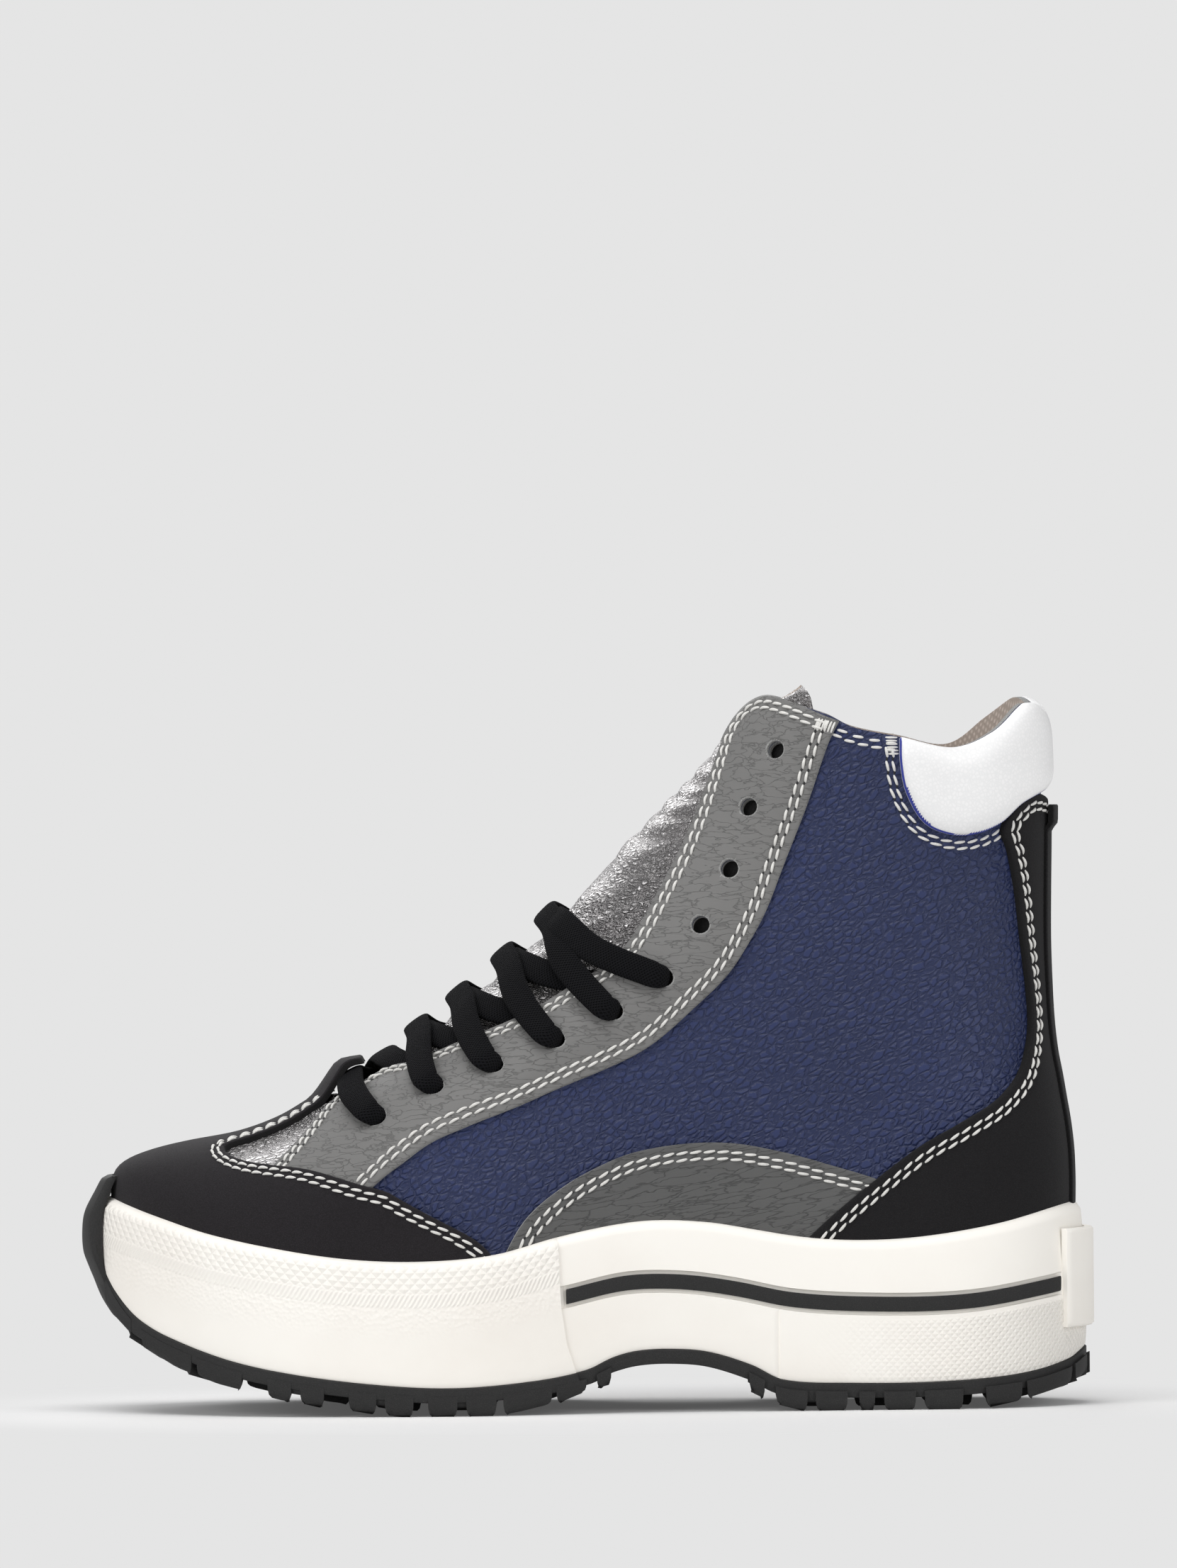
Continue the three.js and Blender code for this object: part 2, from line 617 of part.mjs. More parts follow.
// Upper: one hollow wall, open at the collar, the throat and underneath
const keepPrism = prism(keepUpper);
function drills() {
  return union(
    EYELETS.flatMap(({ along, up }) =>
      [1, -1].map((side) => {
        const angle = side * angleAt(along, up);
        const drill = new THREE.CylinderGeometry(EYELET_RADIUS, EYELET_RADIUS, 4 * WALL + 6, HOLE_SIDES);
        const turn = new THREE.Quaternion().setFromUnitVectors(
          new THREE.Vector3(0, 1, 0),
          upperNormal(angle, up),
        );
        const centre = upperPoint(angle, up, 0);
        return fromGeometry(drill.applyQuaternion(turn).translate(centre.x, centre.y, centre.z));
      }),
    ),
  );
}
const holes = drills();
const CUT_BELOW = -0.02; // the hollow starts this far under the footbed, so the wall is open there
const upper = outerForm.subtract(form(-WALL, CUT_BELOW)).intersect(keepPrism).subtract(holes);

// Parts sewn on the upper
const keeper = sheet(
  4,
  4,
  (i, j) => keeperPoint(i, j, LIFT),
  (i, j) => keeperPoint(i, j, GAP),
);
function keeperPoint(across, along, out) {
  const up = THREE.MathUtils.lerp(KEEPER[0].up, KEEPER[1].up, along);
  const reach = straight(KEEPER, "up", "reach", up);
  const lift = KEEPER_LIFT * THREE.MathUtils.smoothstep(along, 0.05, 0.85);
  return upperPoint((2 * across - 1) * reach, up, out + lift);
}
const toeCap = overlaySkin.intersect(prism(toeCapOutline)).add(keeper);
const counter = overlaySkin.intersect(prism(counterOutline));
const clearCap = prism(grown(toeCapOutline, GAP));
const clearCounter = prism(grown(counterOutline, GAP));
const halfOf = (solid, outline, side) =>
  solid.intersect(prism(outline, side > 0 ? 0 : -ACROSS / 2, side > 0 ? ACROSS / 2 : 0));
const eyestay = (side) =>
  halfOf(overlaySkin, eyestayOutline, side).subtract(clearCap).subtract(holes);
const sidePanel = (side) =>
  halfOf(overlaySkin, sidePanelOutline, side).subtract(clearCap).subtract(clearCounter);
const collarPad = form(GAP + PAD)
  .subtract(seatForm)
  .intersect(prism(padOutline))
  .intersect(keepPrism)
  .subtract(clearCounter);
const backstayOutline = [at(0.1, 0.77), at(BEHIND, 0.78), at(BEHIND, 0.12), at(0.1, 0.12)];
const backstay = form(2 * LIFT)
  .subtract(clearForm)
  .intersect(prism(backstayOutline, -BACKSTAY_WIDTH / 2, BACKSTAY_WIDTH / 2));

// Tongue: inside the eyestays, swelling up between them
const throatAngle = (up) => angleAt(straight(TOP_EDGE, "up", "along", up), up);
function tonguePoint(across, rise, out) {
  const first = TONGUE[0].up;
  const up = THREE.MathUtils.lerp(first, TONGUE[TONGUE.length - 1].up, rise);
  const angle = (2 * across - 1) * smooth(TONGUE, "up", "reach", up);
  const half = SWELL.share * throatAngle(Math.min(up, SWELL.end));
  const open = Math.max(0, 1 - (angle / half) ** 2);
  const rising = THREE.MathUtils.smoothstep(up, SWELL.from, SWELL.full);
  const falling = 1 - THREE.MathUtils.smoothstep(up, SWELL.fade, SWELL.end);
  const swell = (WALL + TONGUE_GAP) * open * rising * falling;
  return upperPoint(angle, up, swell - WALL - TONGUE_GAP - out);
}
const tongue = sheet(
  6,
  9,
  (i, j) => tonguePoint(i, j, 0),
  (i, j) => tonguePoint(i, j, TONGUE_THICKNESS),
);

// Laces: two flat strands cross on the ridge of the tongue at each laced pair of eyelets
function strap(points, normals) {
  const curve = new THREE.CatmullRomCurve3(points);
  const facing = new THREE.CatmullRomCurve3(normals);
  const frame = (t) => {
    const along = curve.getTangent(t);
    const up = facing.getPoint(t);
    up.addScaledVector(along, -up.dot(along)).normalize();
    return { centre: curve.getPoint(t), up, side: up.clone().cross(along).normalize() };
  };
  const face = (height) => (i, j) => {
    const { centre, up, side } = frame(j);
    return centre.addScaledVector(side, (i - 0.5) * LACE_WIDTH).addScaledVector(up, height);
  };
  return sheet(1, 7, face(LACE_THICKNESS / 2), face(-LACE_THICKNESS / 2));
}
function strand(eyelet, side, open) {
  const over = LIFT + LACE_GAP + LACE_THICKNESS / 2; // on top of the eyestay
  const rest = GAP + LACE_THICKNESS / 2; // on the tongue's ridge
  const ridgeUp = straight(SECTIONS, "front", "up", eyelet.crossing);
  const tuckUp = straight(TOP_EDGE, "along", "up", eyelet.tuck);
  const start = angleAt(eyelet.along, eyelet.up);
  const end = open ? EYELETS[LACED] : { along: eyelet.tuck, up: tuckUp };
  const far = angleAt(end.along, end.up);
  const stops = STRAND_OUT.map(({ round, rise, lift }) => ({
    angle: start * round,
    up: THREE.MathUtils.lerp(eyelet.up, ridgeUp, rise),
    out: over + lift * WALL,
  }));
  stops.push({ angle: 0, up: ridgeUp, out: rest + RIDGE_LIFT });
  (open ? STRAND_OPEN : STRAND_TUCKED).forEach(({ round, rise, lift }) => {
    const out = open ? over + lift * WALL : rest;
    stops.push({ angle: -far * round, up: THREE.MathUtils.lerp(ridgeUp, end.up, rise), out });
  });
  return strap(
    stops.map(({ angle, up, out }) => upperPoint(side * angle, up, out)),
    stops.map(({ angle, up }) => upperNormal(side * angle, up)),
  );
}
const crossing = (n) => {
  const eyelet = EYELETS[n];
  const open = n === LACED - 1;
  return strand(eyelet, 1, open).add(strand(eyelet, -1, open));
};

// Midsole: a cup that the upper stands in, with a proud toe bumper and a groove for the stripe
const seamAngle = angleAt(BUMPER_SEAM, RIM_LEVEL);
const soleAngles = [];
for (let i = 0; i < AROUND_SOLE; i += 1) soleAngles.push((i / AROUND_SOLE) * 2 * Math.PI);
const archAngles = ARCH_STATIONS.map((along) => angleAt(along, RIM_LEVEL));
archAngles.push(seamAngle - SEAM_STEP, seamAngle + SEAM_STEP);
archAngles.forEach((angle) => soleAngles.push(angle, 2 * Math.PI - angle));
soleAngles.sort((a, b) => a - b);
const bumper = (angle) => (Math.cos(angle) > Math.cos(seamAngle) ? BUMPER_PROUD : 0);
function soleStack(more, drop = 0) {
  return stack(
    SOLE_WALL.map(({ height, out }) =>
      soleAngles.map((angle) => {
        const p = solePoint(angle, RIM_OUT * out + bumper(angle) + more);
        return p.setZ(THREE.MathUtils.lerp(midsoleBottom(p.x) - drop, rim(p.x), height));
      }),
    ),
  );
}
const stripeLine = edge(STRIPE_TOP, 1);
const band = (above, below) => [
  ...stripeLine.map((p) => new THREE.Vector2(p.x, p.y + above)),
  ...stripeLine.map((p) => new THREE.Vector2(p.x, p.y - below)).reverse(),
];
const grooveBand = prism(band(GROOVE_MARGIN, STRIPE_WIDTH + GROOVE_MARGIN));
const groove = grooveBand.subtract(soleStack(-GROOVE_DEPTH));
const midsole = soleStack(0).subtract(clearForm).subtract(groove);
// The stripe runs from behind the bumper's seam to the row where its line ends at the heel.
const stripeStations = soleAngles.filter((angle) => {
  const behind = solePoint(angle, RIM_OUT).x / LAST_LENGTH > STRIPE_TOP[STRIPE_TOP.length - 1].along;
  return behind && angle > seamAngle + 2 * SEAM_STEP && angle < Math.PI;
});
function stripe(side) {
  const face = (out) => (i, j) => {
    const angle = side * stripeStations[Math.round(i * (stripeStations.length - 1))];
    const p = solePoint(angle, RIM_OUT + out);
    const level = straight(STRIPE_TOP, "along", "up", p.x / LAST_LENGTH);
    return p.setZ(footbed(p.x) + level * UPPER_HEIGHT - STRIPE_WIDTH * (1 - j));
  };
  const floor = GAP - GROOVE_DEPTH;
  return sheet(stripeStations.length - 1, 1, face(floor + STRIPE_DEPTH), face(floor));
}

// Outsole: a slab under the midsole, lugs in three rows, and a guard wrapped up over the toe
const slope = (x) => midsoleBottom(x + 1) - midsoleBottom(x - 1);
const slabUnder = (x) => midsoleBottom(x) - GAP - SLAB * Math.min(2, Math.hypot(1, slope(x) / 2));
const SLAB_OVER = 2; // part of the slab that the midsole's bottom then cuts away
const slab = stack(
  [slabUnder, (x) => midsoleBottom(x) + SLAB_OVER].map((height) => {
    return soleAngles.map((angle) => {
      const p = solePoint(angle, RIM_OUT + bumper(angle));
      return p.setZ(height(p.x));
    });
  }),
);
const UNDER = -10; // below and above every part of the sole
const OVER = 100;
const planRing = (out, z) => soleAngles.map((angle) => solePoint(angle, out).setZ(z));
const planPrism = (out) => stack([planRing(out, UNDER), planRing(out, OVER)]);
const lug = ({ from, to }) => {
  const [a, b] = [from * LAST_LENGTH, to * LAST_LENGTH];
  const top = (x) => midsoleBottom(x) - GAP - SLAB / 2;
  return prism([
    new THREE.Vector2(a, tread(a)),
    new THREE.Vector2(b, tread(b)),
    new THREE.Vector2(b, top(b)),
    new THREE.Vector2(a, top(a)),
  ]);
};
// The middle row of lugs as seen from below, between the two channels
function middleRow(margin) {
  const sides = 16;
  const edgeAt = (side, i) => {
    const x = THREE.MathUtils.lerp(BEHIND, AHEAD, i / sides) * LAST_LENGTH;
    const along = x / LAST_LENGTH;
    const half = MIDDLE_SHARE * (BALL_WIDTH / 2) * smooth(PLAN, "along", "foot", along) + margin;
    return new THREE.Vector3(x, TOE_SWING * smooth(PLAN, "along", "swing", along) + side * half, 0);
  };
  return sheet(
    1,
    sides,
    (i, j) => edgeAt(2 * i - 1, j * sides).setZ(OVER),
    (i, j) => edgeAt(2 * i - 1, j * sides).setZ(UNDER),
  );
}
const edgeLugs = union(EDGE_LUGS.map(lug)).subtract(middleRow(CHANNEL));
const middleLugs = union(MIDDLE_LUGS.map(lug)).intersect(middleRow(0));
const guardPoint = (across, rise, column) => {
  const row = THREE.MathUtils.lerp(GUARD[0].rise, GUARD[GUARD.length - 1].rise, rise);
  const angle = (2 * across - 1) * GUARD_ANGLE * THREE.MathUtils.lerp(1, GUARD_NARROW, rise);
  return solePoint(angle, GUARD_THICKNESS * smooth(GUARD, "rise", column, row)).setZ(row * PLATFORM);
};
const guard = sheet(
  6,
  9,
  (i, j) => guardPoint(i, j, "out"),
  (i, j) => guardPoint(i, j, "inside"),
);
const outsole = slab
  .add(edgeLugs.add(middleLugs).intersect(planPrism(RIM_OUT + LUG_PROUD)))
  .add(guard)
  .subtract(soleStack(GAP, GAP));

// Heel tag and insole
const tagPoint = (across, rise, out) => {
  const z = TAG_LOW + TAG_HEIGHT * rise;
  const angle = Math.PI + (2 * across - 1) * TAG_ANGLE;
  return solePoint(angle, RIM_OUT + GAP + out).setZ(z);
};
const heelTag = sheet(
  8,
  1,
  (i, j) => tagPoint(i, j, TAG_THICKNESS),
  (i, j) => tagPoint(i, j, 0),
);
const insoleRing = (height) => {
  const ring = [];
  for (let i = 0; i < AROUND; i += 1) {
    const angle = (i / AROUND) * 2 * Math.PI;
    ring.push(upperPoint(angle, height / UPPER_HEIGHT, -WALL - GAP));
  }
  return ring;
};
const insole = stack([insoleRing(INSOLE_LIFT), insoleRing(INSOLE_THICKNESS)]);

// Leather, rubber and cloth
const leather = (color) => new THREE.MeshStandardMaterial({ color, roughness: 0.6, metalness: 0 });
const rubber = (color) => new THREE.MeshStandardMaterial({ color, roughness: 0.75, metalness: 0 });
const cloth = (color) => new THREE.MeshStandardMaterial({ color, roughness: 0.95, metalness: 0 });
const navyLeather = leather(0x36416b);
const greyLeather = leather(0x7a7a7a);
const darkGreyLeather = leather(0x5f5f5f);
const blackNubuck = leather(0x2c2b2d);
const silverLeather = new THREE.MeshStandardMaterial({ color: 0x9c9a9b, roughness: 0.35, metalness: 0.7 });
const whiteLeather = leather(0xf4f4f4);
const whiteRubber = rubber(0xf4f0e6);
const blackRubber = rubber(0x2b2b2c);
const blackCotton = cloth(0x191919);
const beigeCloth = cloth(0xb1a59d);

const shoe = new THREE.Group();
function add(name, material, solid) {
  const { numProp, vertProperties, triVerts } = solid.getMesh();
  const geometry = new THREE.BufferGeometry();
  const position = new THREE.InterleavedBufferAttribute(
    new THREE.InterleavedBuffer(new Float32Array(vertProperties), numProp),
    3,
    0,
  );
  geometry.setAttribute("position", position);
  geometry.setIndex(new THREE.BufferAttribute(triVerts, 1));
  geometry.computeVertexNormals();
  const mesh = new THREE.Mesh(geometry, material);
  mesh.name = name;
  shoe.add(mesh);
}
add("outsole", blackRubber, outsole);
add("midsole", whiteRubber, midsole);
add("upper", navyLeather, upper);
add("tongue", silverLeather, tongue);
add("insole", beigeCloth, insole);
add("toe_cap", blackNubuck, toeCap);
add("heel_counter", blackNubuck, counter);
add("backstay", blackNubuck, backstay);
add("collar_pad", whiteLeather, collarPad);
add("heel_tag", whiteRubber, heelTag);
[["lateral", 1], ["medial", -1]].forEach(([name, side]) => {
  add("eyestay_" + name, greyLeather, eyestay(side));
  add("side_panel_" + name, darkGreyLeather, sidePanel(side));
  add("sole_stripe_" + name, blackRubber, stripe(side));
});
for (let n = 0; n < LACED; n += 1) add("lace_crossing_" + (n + 1), blackCotton, crossing(n));

// The shoe stands on the ground with its origin under the middle of its box.
const box = new THREE.Box3().setFromObject(shoe);
const centre = box.getCenter(new THREE.Vector3());
shoe.position.set(-centre.x, -centre.y, -box.min.z);

export default shoe;
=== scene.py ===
# A left high-top hiking shoe: leather upper, padded collar and laces on a moulded platform sole.
import math

import bpy
import numpy as np
from mathutils import Matrix, Vector
from mathutils.geometry import delaunay_2d_cdt


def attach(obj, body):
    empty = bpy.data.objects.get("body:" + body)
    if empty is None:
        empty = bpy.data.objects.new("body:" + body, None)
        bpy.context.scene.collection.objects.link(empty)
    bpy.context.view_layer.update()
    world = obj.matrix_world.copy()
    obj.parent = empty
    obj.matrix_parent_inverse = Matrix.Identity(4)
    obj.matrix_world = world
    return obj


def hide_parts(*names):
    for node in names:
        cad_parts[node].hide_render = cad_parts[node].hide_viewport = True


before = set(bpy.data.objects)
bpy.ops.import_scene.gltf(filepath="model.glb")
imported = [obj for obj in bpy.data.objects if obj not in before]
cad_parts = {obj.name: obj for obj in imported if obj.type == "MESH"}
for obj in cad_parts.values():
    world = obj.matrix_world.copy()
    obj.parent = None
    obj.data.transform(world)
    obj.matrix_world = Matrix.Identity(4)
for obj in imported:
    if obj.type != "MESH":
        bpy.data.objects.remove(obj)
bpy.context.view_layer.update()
scene = bpy.context.scene
scene.view_settings.view_transform = "Standard"

# Studio. A seamless pale floor that runs into the background, a large soft light overhead, one on each
# side of the camera and one behind, and a long lens a little above the shoe.
camera_data = bpy.data.cameras.new("camera")
camera = bpy.data.objects.new("camera", camera_data)
scene.collection.objects.link(camera)
scene.camera = camera
camera_distance, camera_rise, camera_roll = 5.0, math.radians(0.7), math.radians(-0.53)
view_height = 0.4315  # metres of the shoe's middle plane from the frame's foot to its head
camera_data.lens = 36 * camera_distance / view_height
camera_target = Vector((-0.0013, 0.0, 0.1713))
camera_back = Vector((0.0, math.cos(camera_rise), math.sin(camera_rise)))
camera.location = camera_target + camera_distance * camera_back
aim = (-camera_back).to_track_quat("-Z", "Y").to_matrix().to_4x4()
camera.rotation_euler = (aim @ Matrix.Rotation(camera_roll, 4, "Z")).to_euler()

BACKGROUND = (0.783, 0.783, 0.783, 1.0)
PAPER = (0.78, 0.78, 0.78, 1.0)
SKY_FILL = (0.36, 0.36, 0.365, 1.0)
LIT_PAPER_ENDS = (4.3, 5.6, 1.0)  # how soon the lit paper gives way to the even tone, along and across


def add(tree, kind, inputs=None, **settings):
    """Adds a node. An input given a socket is linked to it, and any other value is set on it."""
    made = tree.nodes.new(kind)
    for key, value in settings.items():
        setattr(made, key, value)
    for key, value in (inputs or {}).items():
        if isinstance(value, bpy.types.NodeSocket):
            tree.links.new(value, made.inputs[key])
        else:
            made.inputs[key].default_value = value
    return made


def new_material(name):
    """A material with an empty tree, and the tree."""
    material = bpy.data.materials.new(name)
    material.use_nodes = True
    material.node_tree.nodes.clear()
    return material, material.node_tree


paper, tree = new_material("seamless_paper")
place = add(tree, "ShaderNodeTexCoord")
spread = add(tree, "ShaderNodeMapping", {"Vector": place.outputs["Object"], "Scale": LIT_PAPER_ENDS})
fade = add(tree, "ShaderNodeTexGradient", {"Vector": spread.outputs["Vector"]}, gradient_type="SPHERICAL")
ease = add(
    tree, "ShaderNodeMapRange",
    {"Value": fade.outputs["Fac"], "From Max": 0.5, "To Min": 1.0, "To Max": 0.1},
    interpolation_type="SMOOTHERSTEP",
)
matt = add(tree, "ShaderNodeBsdfDiffuse", {"Color": PAPER})
glow = add(tree, "ShaderNodeEmission", {"Color": BACKGROUND})
blend = add(
    tree, "ShaderNodeMixShader",
    {0: ease.outputs["Result"], 1: matt.outputs["BSDF"], 2: glow.outputs["Emission"]},
)
add(tree, "ShaderNodeOutputMaterial", {"Surface": blend.outputs["Shader"]})

FLOOR_REACH = 30.0  # metres
corners = [(-1, -1), (1, -1), (1, 1), (-1, 1)]
floor_mesh = bpy.data.meshes.new("floor")
floor_mesh.from_pydata([(FLOOR_REACH * x, FLOOR_REACH * y, 0) for x, y in corners], [], [(0, 1, 2, 3)])
floor_mesh.materials.append(paper)
floor = bpy.data.objects.new("floor", floor_mesh)
scene.collection.objects.link(floor)

# The paper shows at its own tone, and lights the shoe more softly than it shows.
world = bpy.data.worlds.new("studio")
scene.world = world
world.use_nodes = True
sky = world.node_tree
seen = sky.nodes["Background"]
seen.inputs["Color"].default_value = BACKGROUND
fill_light = add(sky, "ShaderNodeBackground", {"Color": SKY_FILL})
rays = add(sky, "ShaderNodeLightPath")
choose = add(
    sky, "ShaderNodeMixShader",
    {0: rays.outputs["Is Camera Ray"], 1: fill_light.outputs["Background"], 2: seen.outputs["Background"]},
)
sky.links.new(choose.outputs["Shader"], sky.nodes["World Output"].inputs["Surface"])

SOFT_LIGHTS = [
    # name, place, aim, size, power
    ("overhead", (0.15, 0.35, 1.5), (0.0, 0.0, 0.05), 1.1, 13.0),
    ("toe_side", (1.2, 1.3, 0.75), (0.0, 0.0, 0.08), 0.8, 10.0),
    ("heel_side", (-1.3, 1.2, 0.8), (0.0, 0.0, 0.08), 0.7, 7.0),
    ("behind", (0.3, -1.3, 0.9), (0.0, 0.0, 0.1), 0.8, 8.0),
]
for name, spot, towards, size, power in SOFT_LIGHTS:
    light_data = bpy.data.lights.new(name, "AREA")
    light_data.size = size
    light_data.energy = power
    light = bpy.data.objects.new(name, light_data)
    light.location = spot
    light.rotation_euler = (Vector(towards) - Vector(spot)).to_track_quat("-Z", "Y").to_euler()
    scene.collection.objects.link(light)

# Upper. Navy pebbled leather quarters and a silver crinkled vamp, cut flat, sewn and lasted over a
# foot-shaped form, with a beige woven lining. It is open at the collar and down the throat.
LAST_LENGTH, BALL_WIDTH, ANKLE_WIDTH, UPPER_HEIGHT = 261.0, 96.0, 66.0, 160.0  # millimetres
TOE_SWING, NOSE_ROUND, HEEL_ROUND, WALL = 8.0, 60.0, 34.0, 2.0
PLATFORM = 42.0  # footbed above the ground, at the heel
LAST_AT = np.array([-131.415, 0.042, 0.0])  # the heel's end in the shoe's frame

# Sections of the last at rising levels: up, back, front, nose, full
SECTIONS = np.array([
    (-0.06, 0.008, 0.972, 1.0, 0.92), (0.0, 0.004, 0.986, 1.0, 0.955), (0.05, 0.001, 0.997, 1.02, 0.985),
    (0.1, 0.0, 0.999, 1.03, 1.0), (0.135, 0.0, 0.993, 1.02, 1.0), (0.175, 0.001, 0.965, 0.97, 1.0),
    (0.22, 0.004, 0.92, 0.92, 1.0), (0.26, 0.008, 0.868, 0.86, 1.0), (0.3, 0.012, 0.825, 0.84, 1.0),
    (0.345, 0.017, 0.786, 0.86, 1.0), (0.4, 0.0205, 0.728, 0.93, 1.0), (0.47, 0.0225, 0.66, 1.05, 1.0),
    (0.54, 0.0235, 0.6, 1.13, 1.0), (0.62, 0.023, 0.534, 1.15, 1.0), (0.71, 0.022, 0.477, 1.07, 1.0),
    (0.8, 0.0215, 0.424, 0.95, 1.0), (0.9, 0.0235, 0.374, 0.83, 1.0), (1.0, 0.028, 0.325, 0.73, 1.0),
    (1.08, 0.031, 0.288, 0.66, 1.0),
])
# The last from above: along, foot, shaft, swing
PLAN = np.array([
    (-0.03, 0.66, 0.84, 0.0), (0.1, 0.67, 0.88, 0.0), (0.25, 0.675, 1.0, 0.12), (0.38, 0.7, 1.02, 0.25),
    (0.5, 0.8, 1.0, 0.32), (0.6, 0.945, 0.98, 0.28), (0.68, 1.0, 0.98, 0.1), (0.76, 0.995, 0.98, -0.12),
    (0.85, 0.965, 0.98, -0.4), (0.93, 0.91, 0.98, -0.7), (1.03, 0.86, 0.98, -1.0),
])
# Footbed: along, rise
FOOTBED = np.array([
    (-0.03, 1.0), (0.0, 1.0), (0.1, 0.955), (0.2, 0.915), (0.3, 0.9), (0.4, 0.895), (0.5, 0.835),
    (0.6, 0.745), (0.7, 0.69), (0.8, 0.715), (0.9, 0.845), (1.0, 1.07), (1.04, 1.16),
])


def smooth(table, column, value):
    """A smooth reading of a table's column between its rows."""
    keys, rows = table[:, 0], table[:, column]
    slope = np.empty_like(rows)
    slope[1:-1] = (rows[2:] - rows[:-2]) / (keys[2:] - keys[:-2])
    slope[0] = (rows[1] - rows[0]) / (keys[1] - keys[0])
    slope[-1] = (rows[-1] - rows[-2]) / (keys[-1] - keys[-2])
    i = np.clip(np.searchsorted(keys, value) - 1, 0, len(keys) - 2)
    width = keys[i + 1] - keys[i]
    s = np.clip((value - keys[i]) / width, 0, 1)
    return (
        (2 * s**3 - 3 * s**2 + 1) * rows[i]
        + (s**3 - 2 * s**2 + s) * width * slope[i]
        + (3 * s**2 - 2 * s**3) * rows[i + 1]
        + (s**3 - s**2) * width * slope[i + 1]
    )


def ease_between(value, low, high):
    """Rises softly from 0 to 1 between two values."""
    s = np.clip((value - low) / (high - low), 0, 1)
    return s * s * (3 - 2 * s)


def footbed(x):
    """The height of the footbed above the ground."""
    return PLATFORM * smooth(FOOTBED, 1, x / LAST_LENGTH)


def rounded(distance, length):
    """The height, up to 1, of a quarter round that starts at an edge and is full after a length."""
    s = np.clip(distance / length, 0, 1)
    return np.sqrt(np.maximum(1 - (1 - s) ** 2, 0))


def last_point(angle, up):
    """Points of the last at angles round the section of a level, in millimetres from the heel."""
    angle, up = np.broadcast_arrays(np.asarray(angle, float), np.asarray(up, float))
    back, front = (LAST_LENGTH * smooth(SECTIONS, k, up) for k in (1, 2))
    x = (front + back) / 2 + (front - back) / 2 * np.cos(angle)
    along = x / LAST_LENGTH
    shaft = ease_between(up, 0.15, 0.65)
    foot = BALL_WIDTH / 2 * smooth(PLAN, 1, along)
    ankle = ANKLE_WIDTH / 2 * smooth(PLAN, 2, along)
    width = (foot + (ankle - foot) * shaft) * smooth(SECTIONS, 4, up)
    width = width * rounded(front - x, NOSE_ROUND * smooth(SECTIONS, 3, up)) * rounded(x - back, HEEL_ROUND)
    y = TOE_SWING * smooth(PLAN, 3, along) * (1 - shaft) + np.sign(np.sin(angle)) * width
    return np.stack([x, y, footbed(x) + up * UPPER_HEIGHT], -1)


def unit(v):
    """The same directions with length 1."""
    return v / np.maximum(np.linalg.norm(v, axis=-1, keepdims=True), 1e-9)


def last_normal(angle, up, step=0.02):
    """Directions straight out of the last."""
    angle = np.asarray(angle, float)
    round_it = last_point(angle + step, up) - last_point(angle - step, up)
    rise = last_point(angle, up + step) - last_point(angle, up - step)
    return unit(np.cross(round_it, rise))


def on_last(angle, up, out):
    """Points this many millimetres outside the last, in the shoe's frame."""
    out = np.asarray(out, float)[..., None]
    return last_point(angle, up) + last_normal(angle, up) * out + LAST_AT


def angle_at(along, up):
    """The angle round the last where a level passes a place along it."""
    back, front = (smooth(SECTIONS, k, np.asarray(up, float)) for k in (1, 2))
    return np.arccos(np.clip((along - (front + back) / 2) / ((front - back) / 2), -1, 1))


# The leather is cut from flat patterns: across is the angle round the last, and up is its level.
PATTERN = np.array([96.0, UPPER_HEIGHT])  # millimetres of the pattern for one radian and for one level
LINE_STEP = 0.8  # millimetres between the points of a cut edge or a row


def lasted(pattern, out=0.0):
    """Points of the pattern pulled over the last."""
    return on_last(pattern[:, 0] / PATTERN[0], pattern[:, 1] / PATTERN[1], out)


def pulled(pattern):
    """Directions straight out of the last at points of the pattern."""
    return last_normal(pattern[:, 0] / PATTERN[0], pattern[:, 1] / PATTERN[1])


def evenly(line, step=LINE_STEP):
    """The same line with a point every step of millimetres on the last."""
    length = np.r_[0, np.cumsum(np.linalg.norm(np.diff(lasted(line), axis=0), axis=1))]
    count = max(2, int(round(length[-1] / step)) + 1)
    at = np.linspace(0, length[-1], count)
    return np.stack([np.interp(at, length, line[:, k]) for k in (0, 1)], -1)


def through(points):
    """A smooth line through points of the pattern."""
    points = np.asarray(points, float)
    t = np.r_[0, np.cumsum(np.sqrt(np.linalg.norm(np.diff(points, axis=0), axis=1)) + 1e-6)]
    fine = np.linspace(0, t[-1], 24 * len(points))
    columns = [smooth(np.stack([t, points[:, k]], -1), 1, fine) for k in (0, 1)]
    return evenly(np.stack(columns, -1))


def marked(rows, side=1):
    """Rows of (along, up) as points of the pattern on one side of the shoe."""
    rows = np.asarray(rows, float)
    return np.stack([side * angle_at(rows[:, 0], rows[:, 1]), rows[:, 1]], -1) * PATTERN


def joined(*lines):
    """One closed outline from lines that meet end to end."""
    loop = np.concatenate(lines)
    keep = np.linalg.norm(loop - np.roll(loop, 1, 0), axis=1) > 0.25
    return loop[keep]


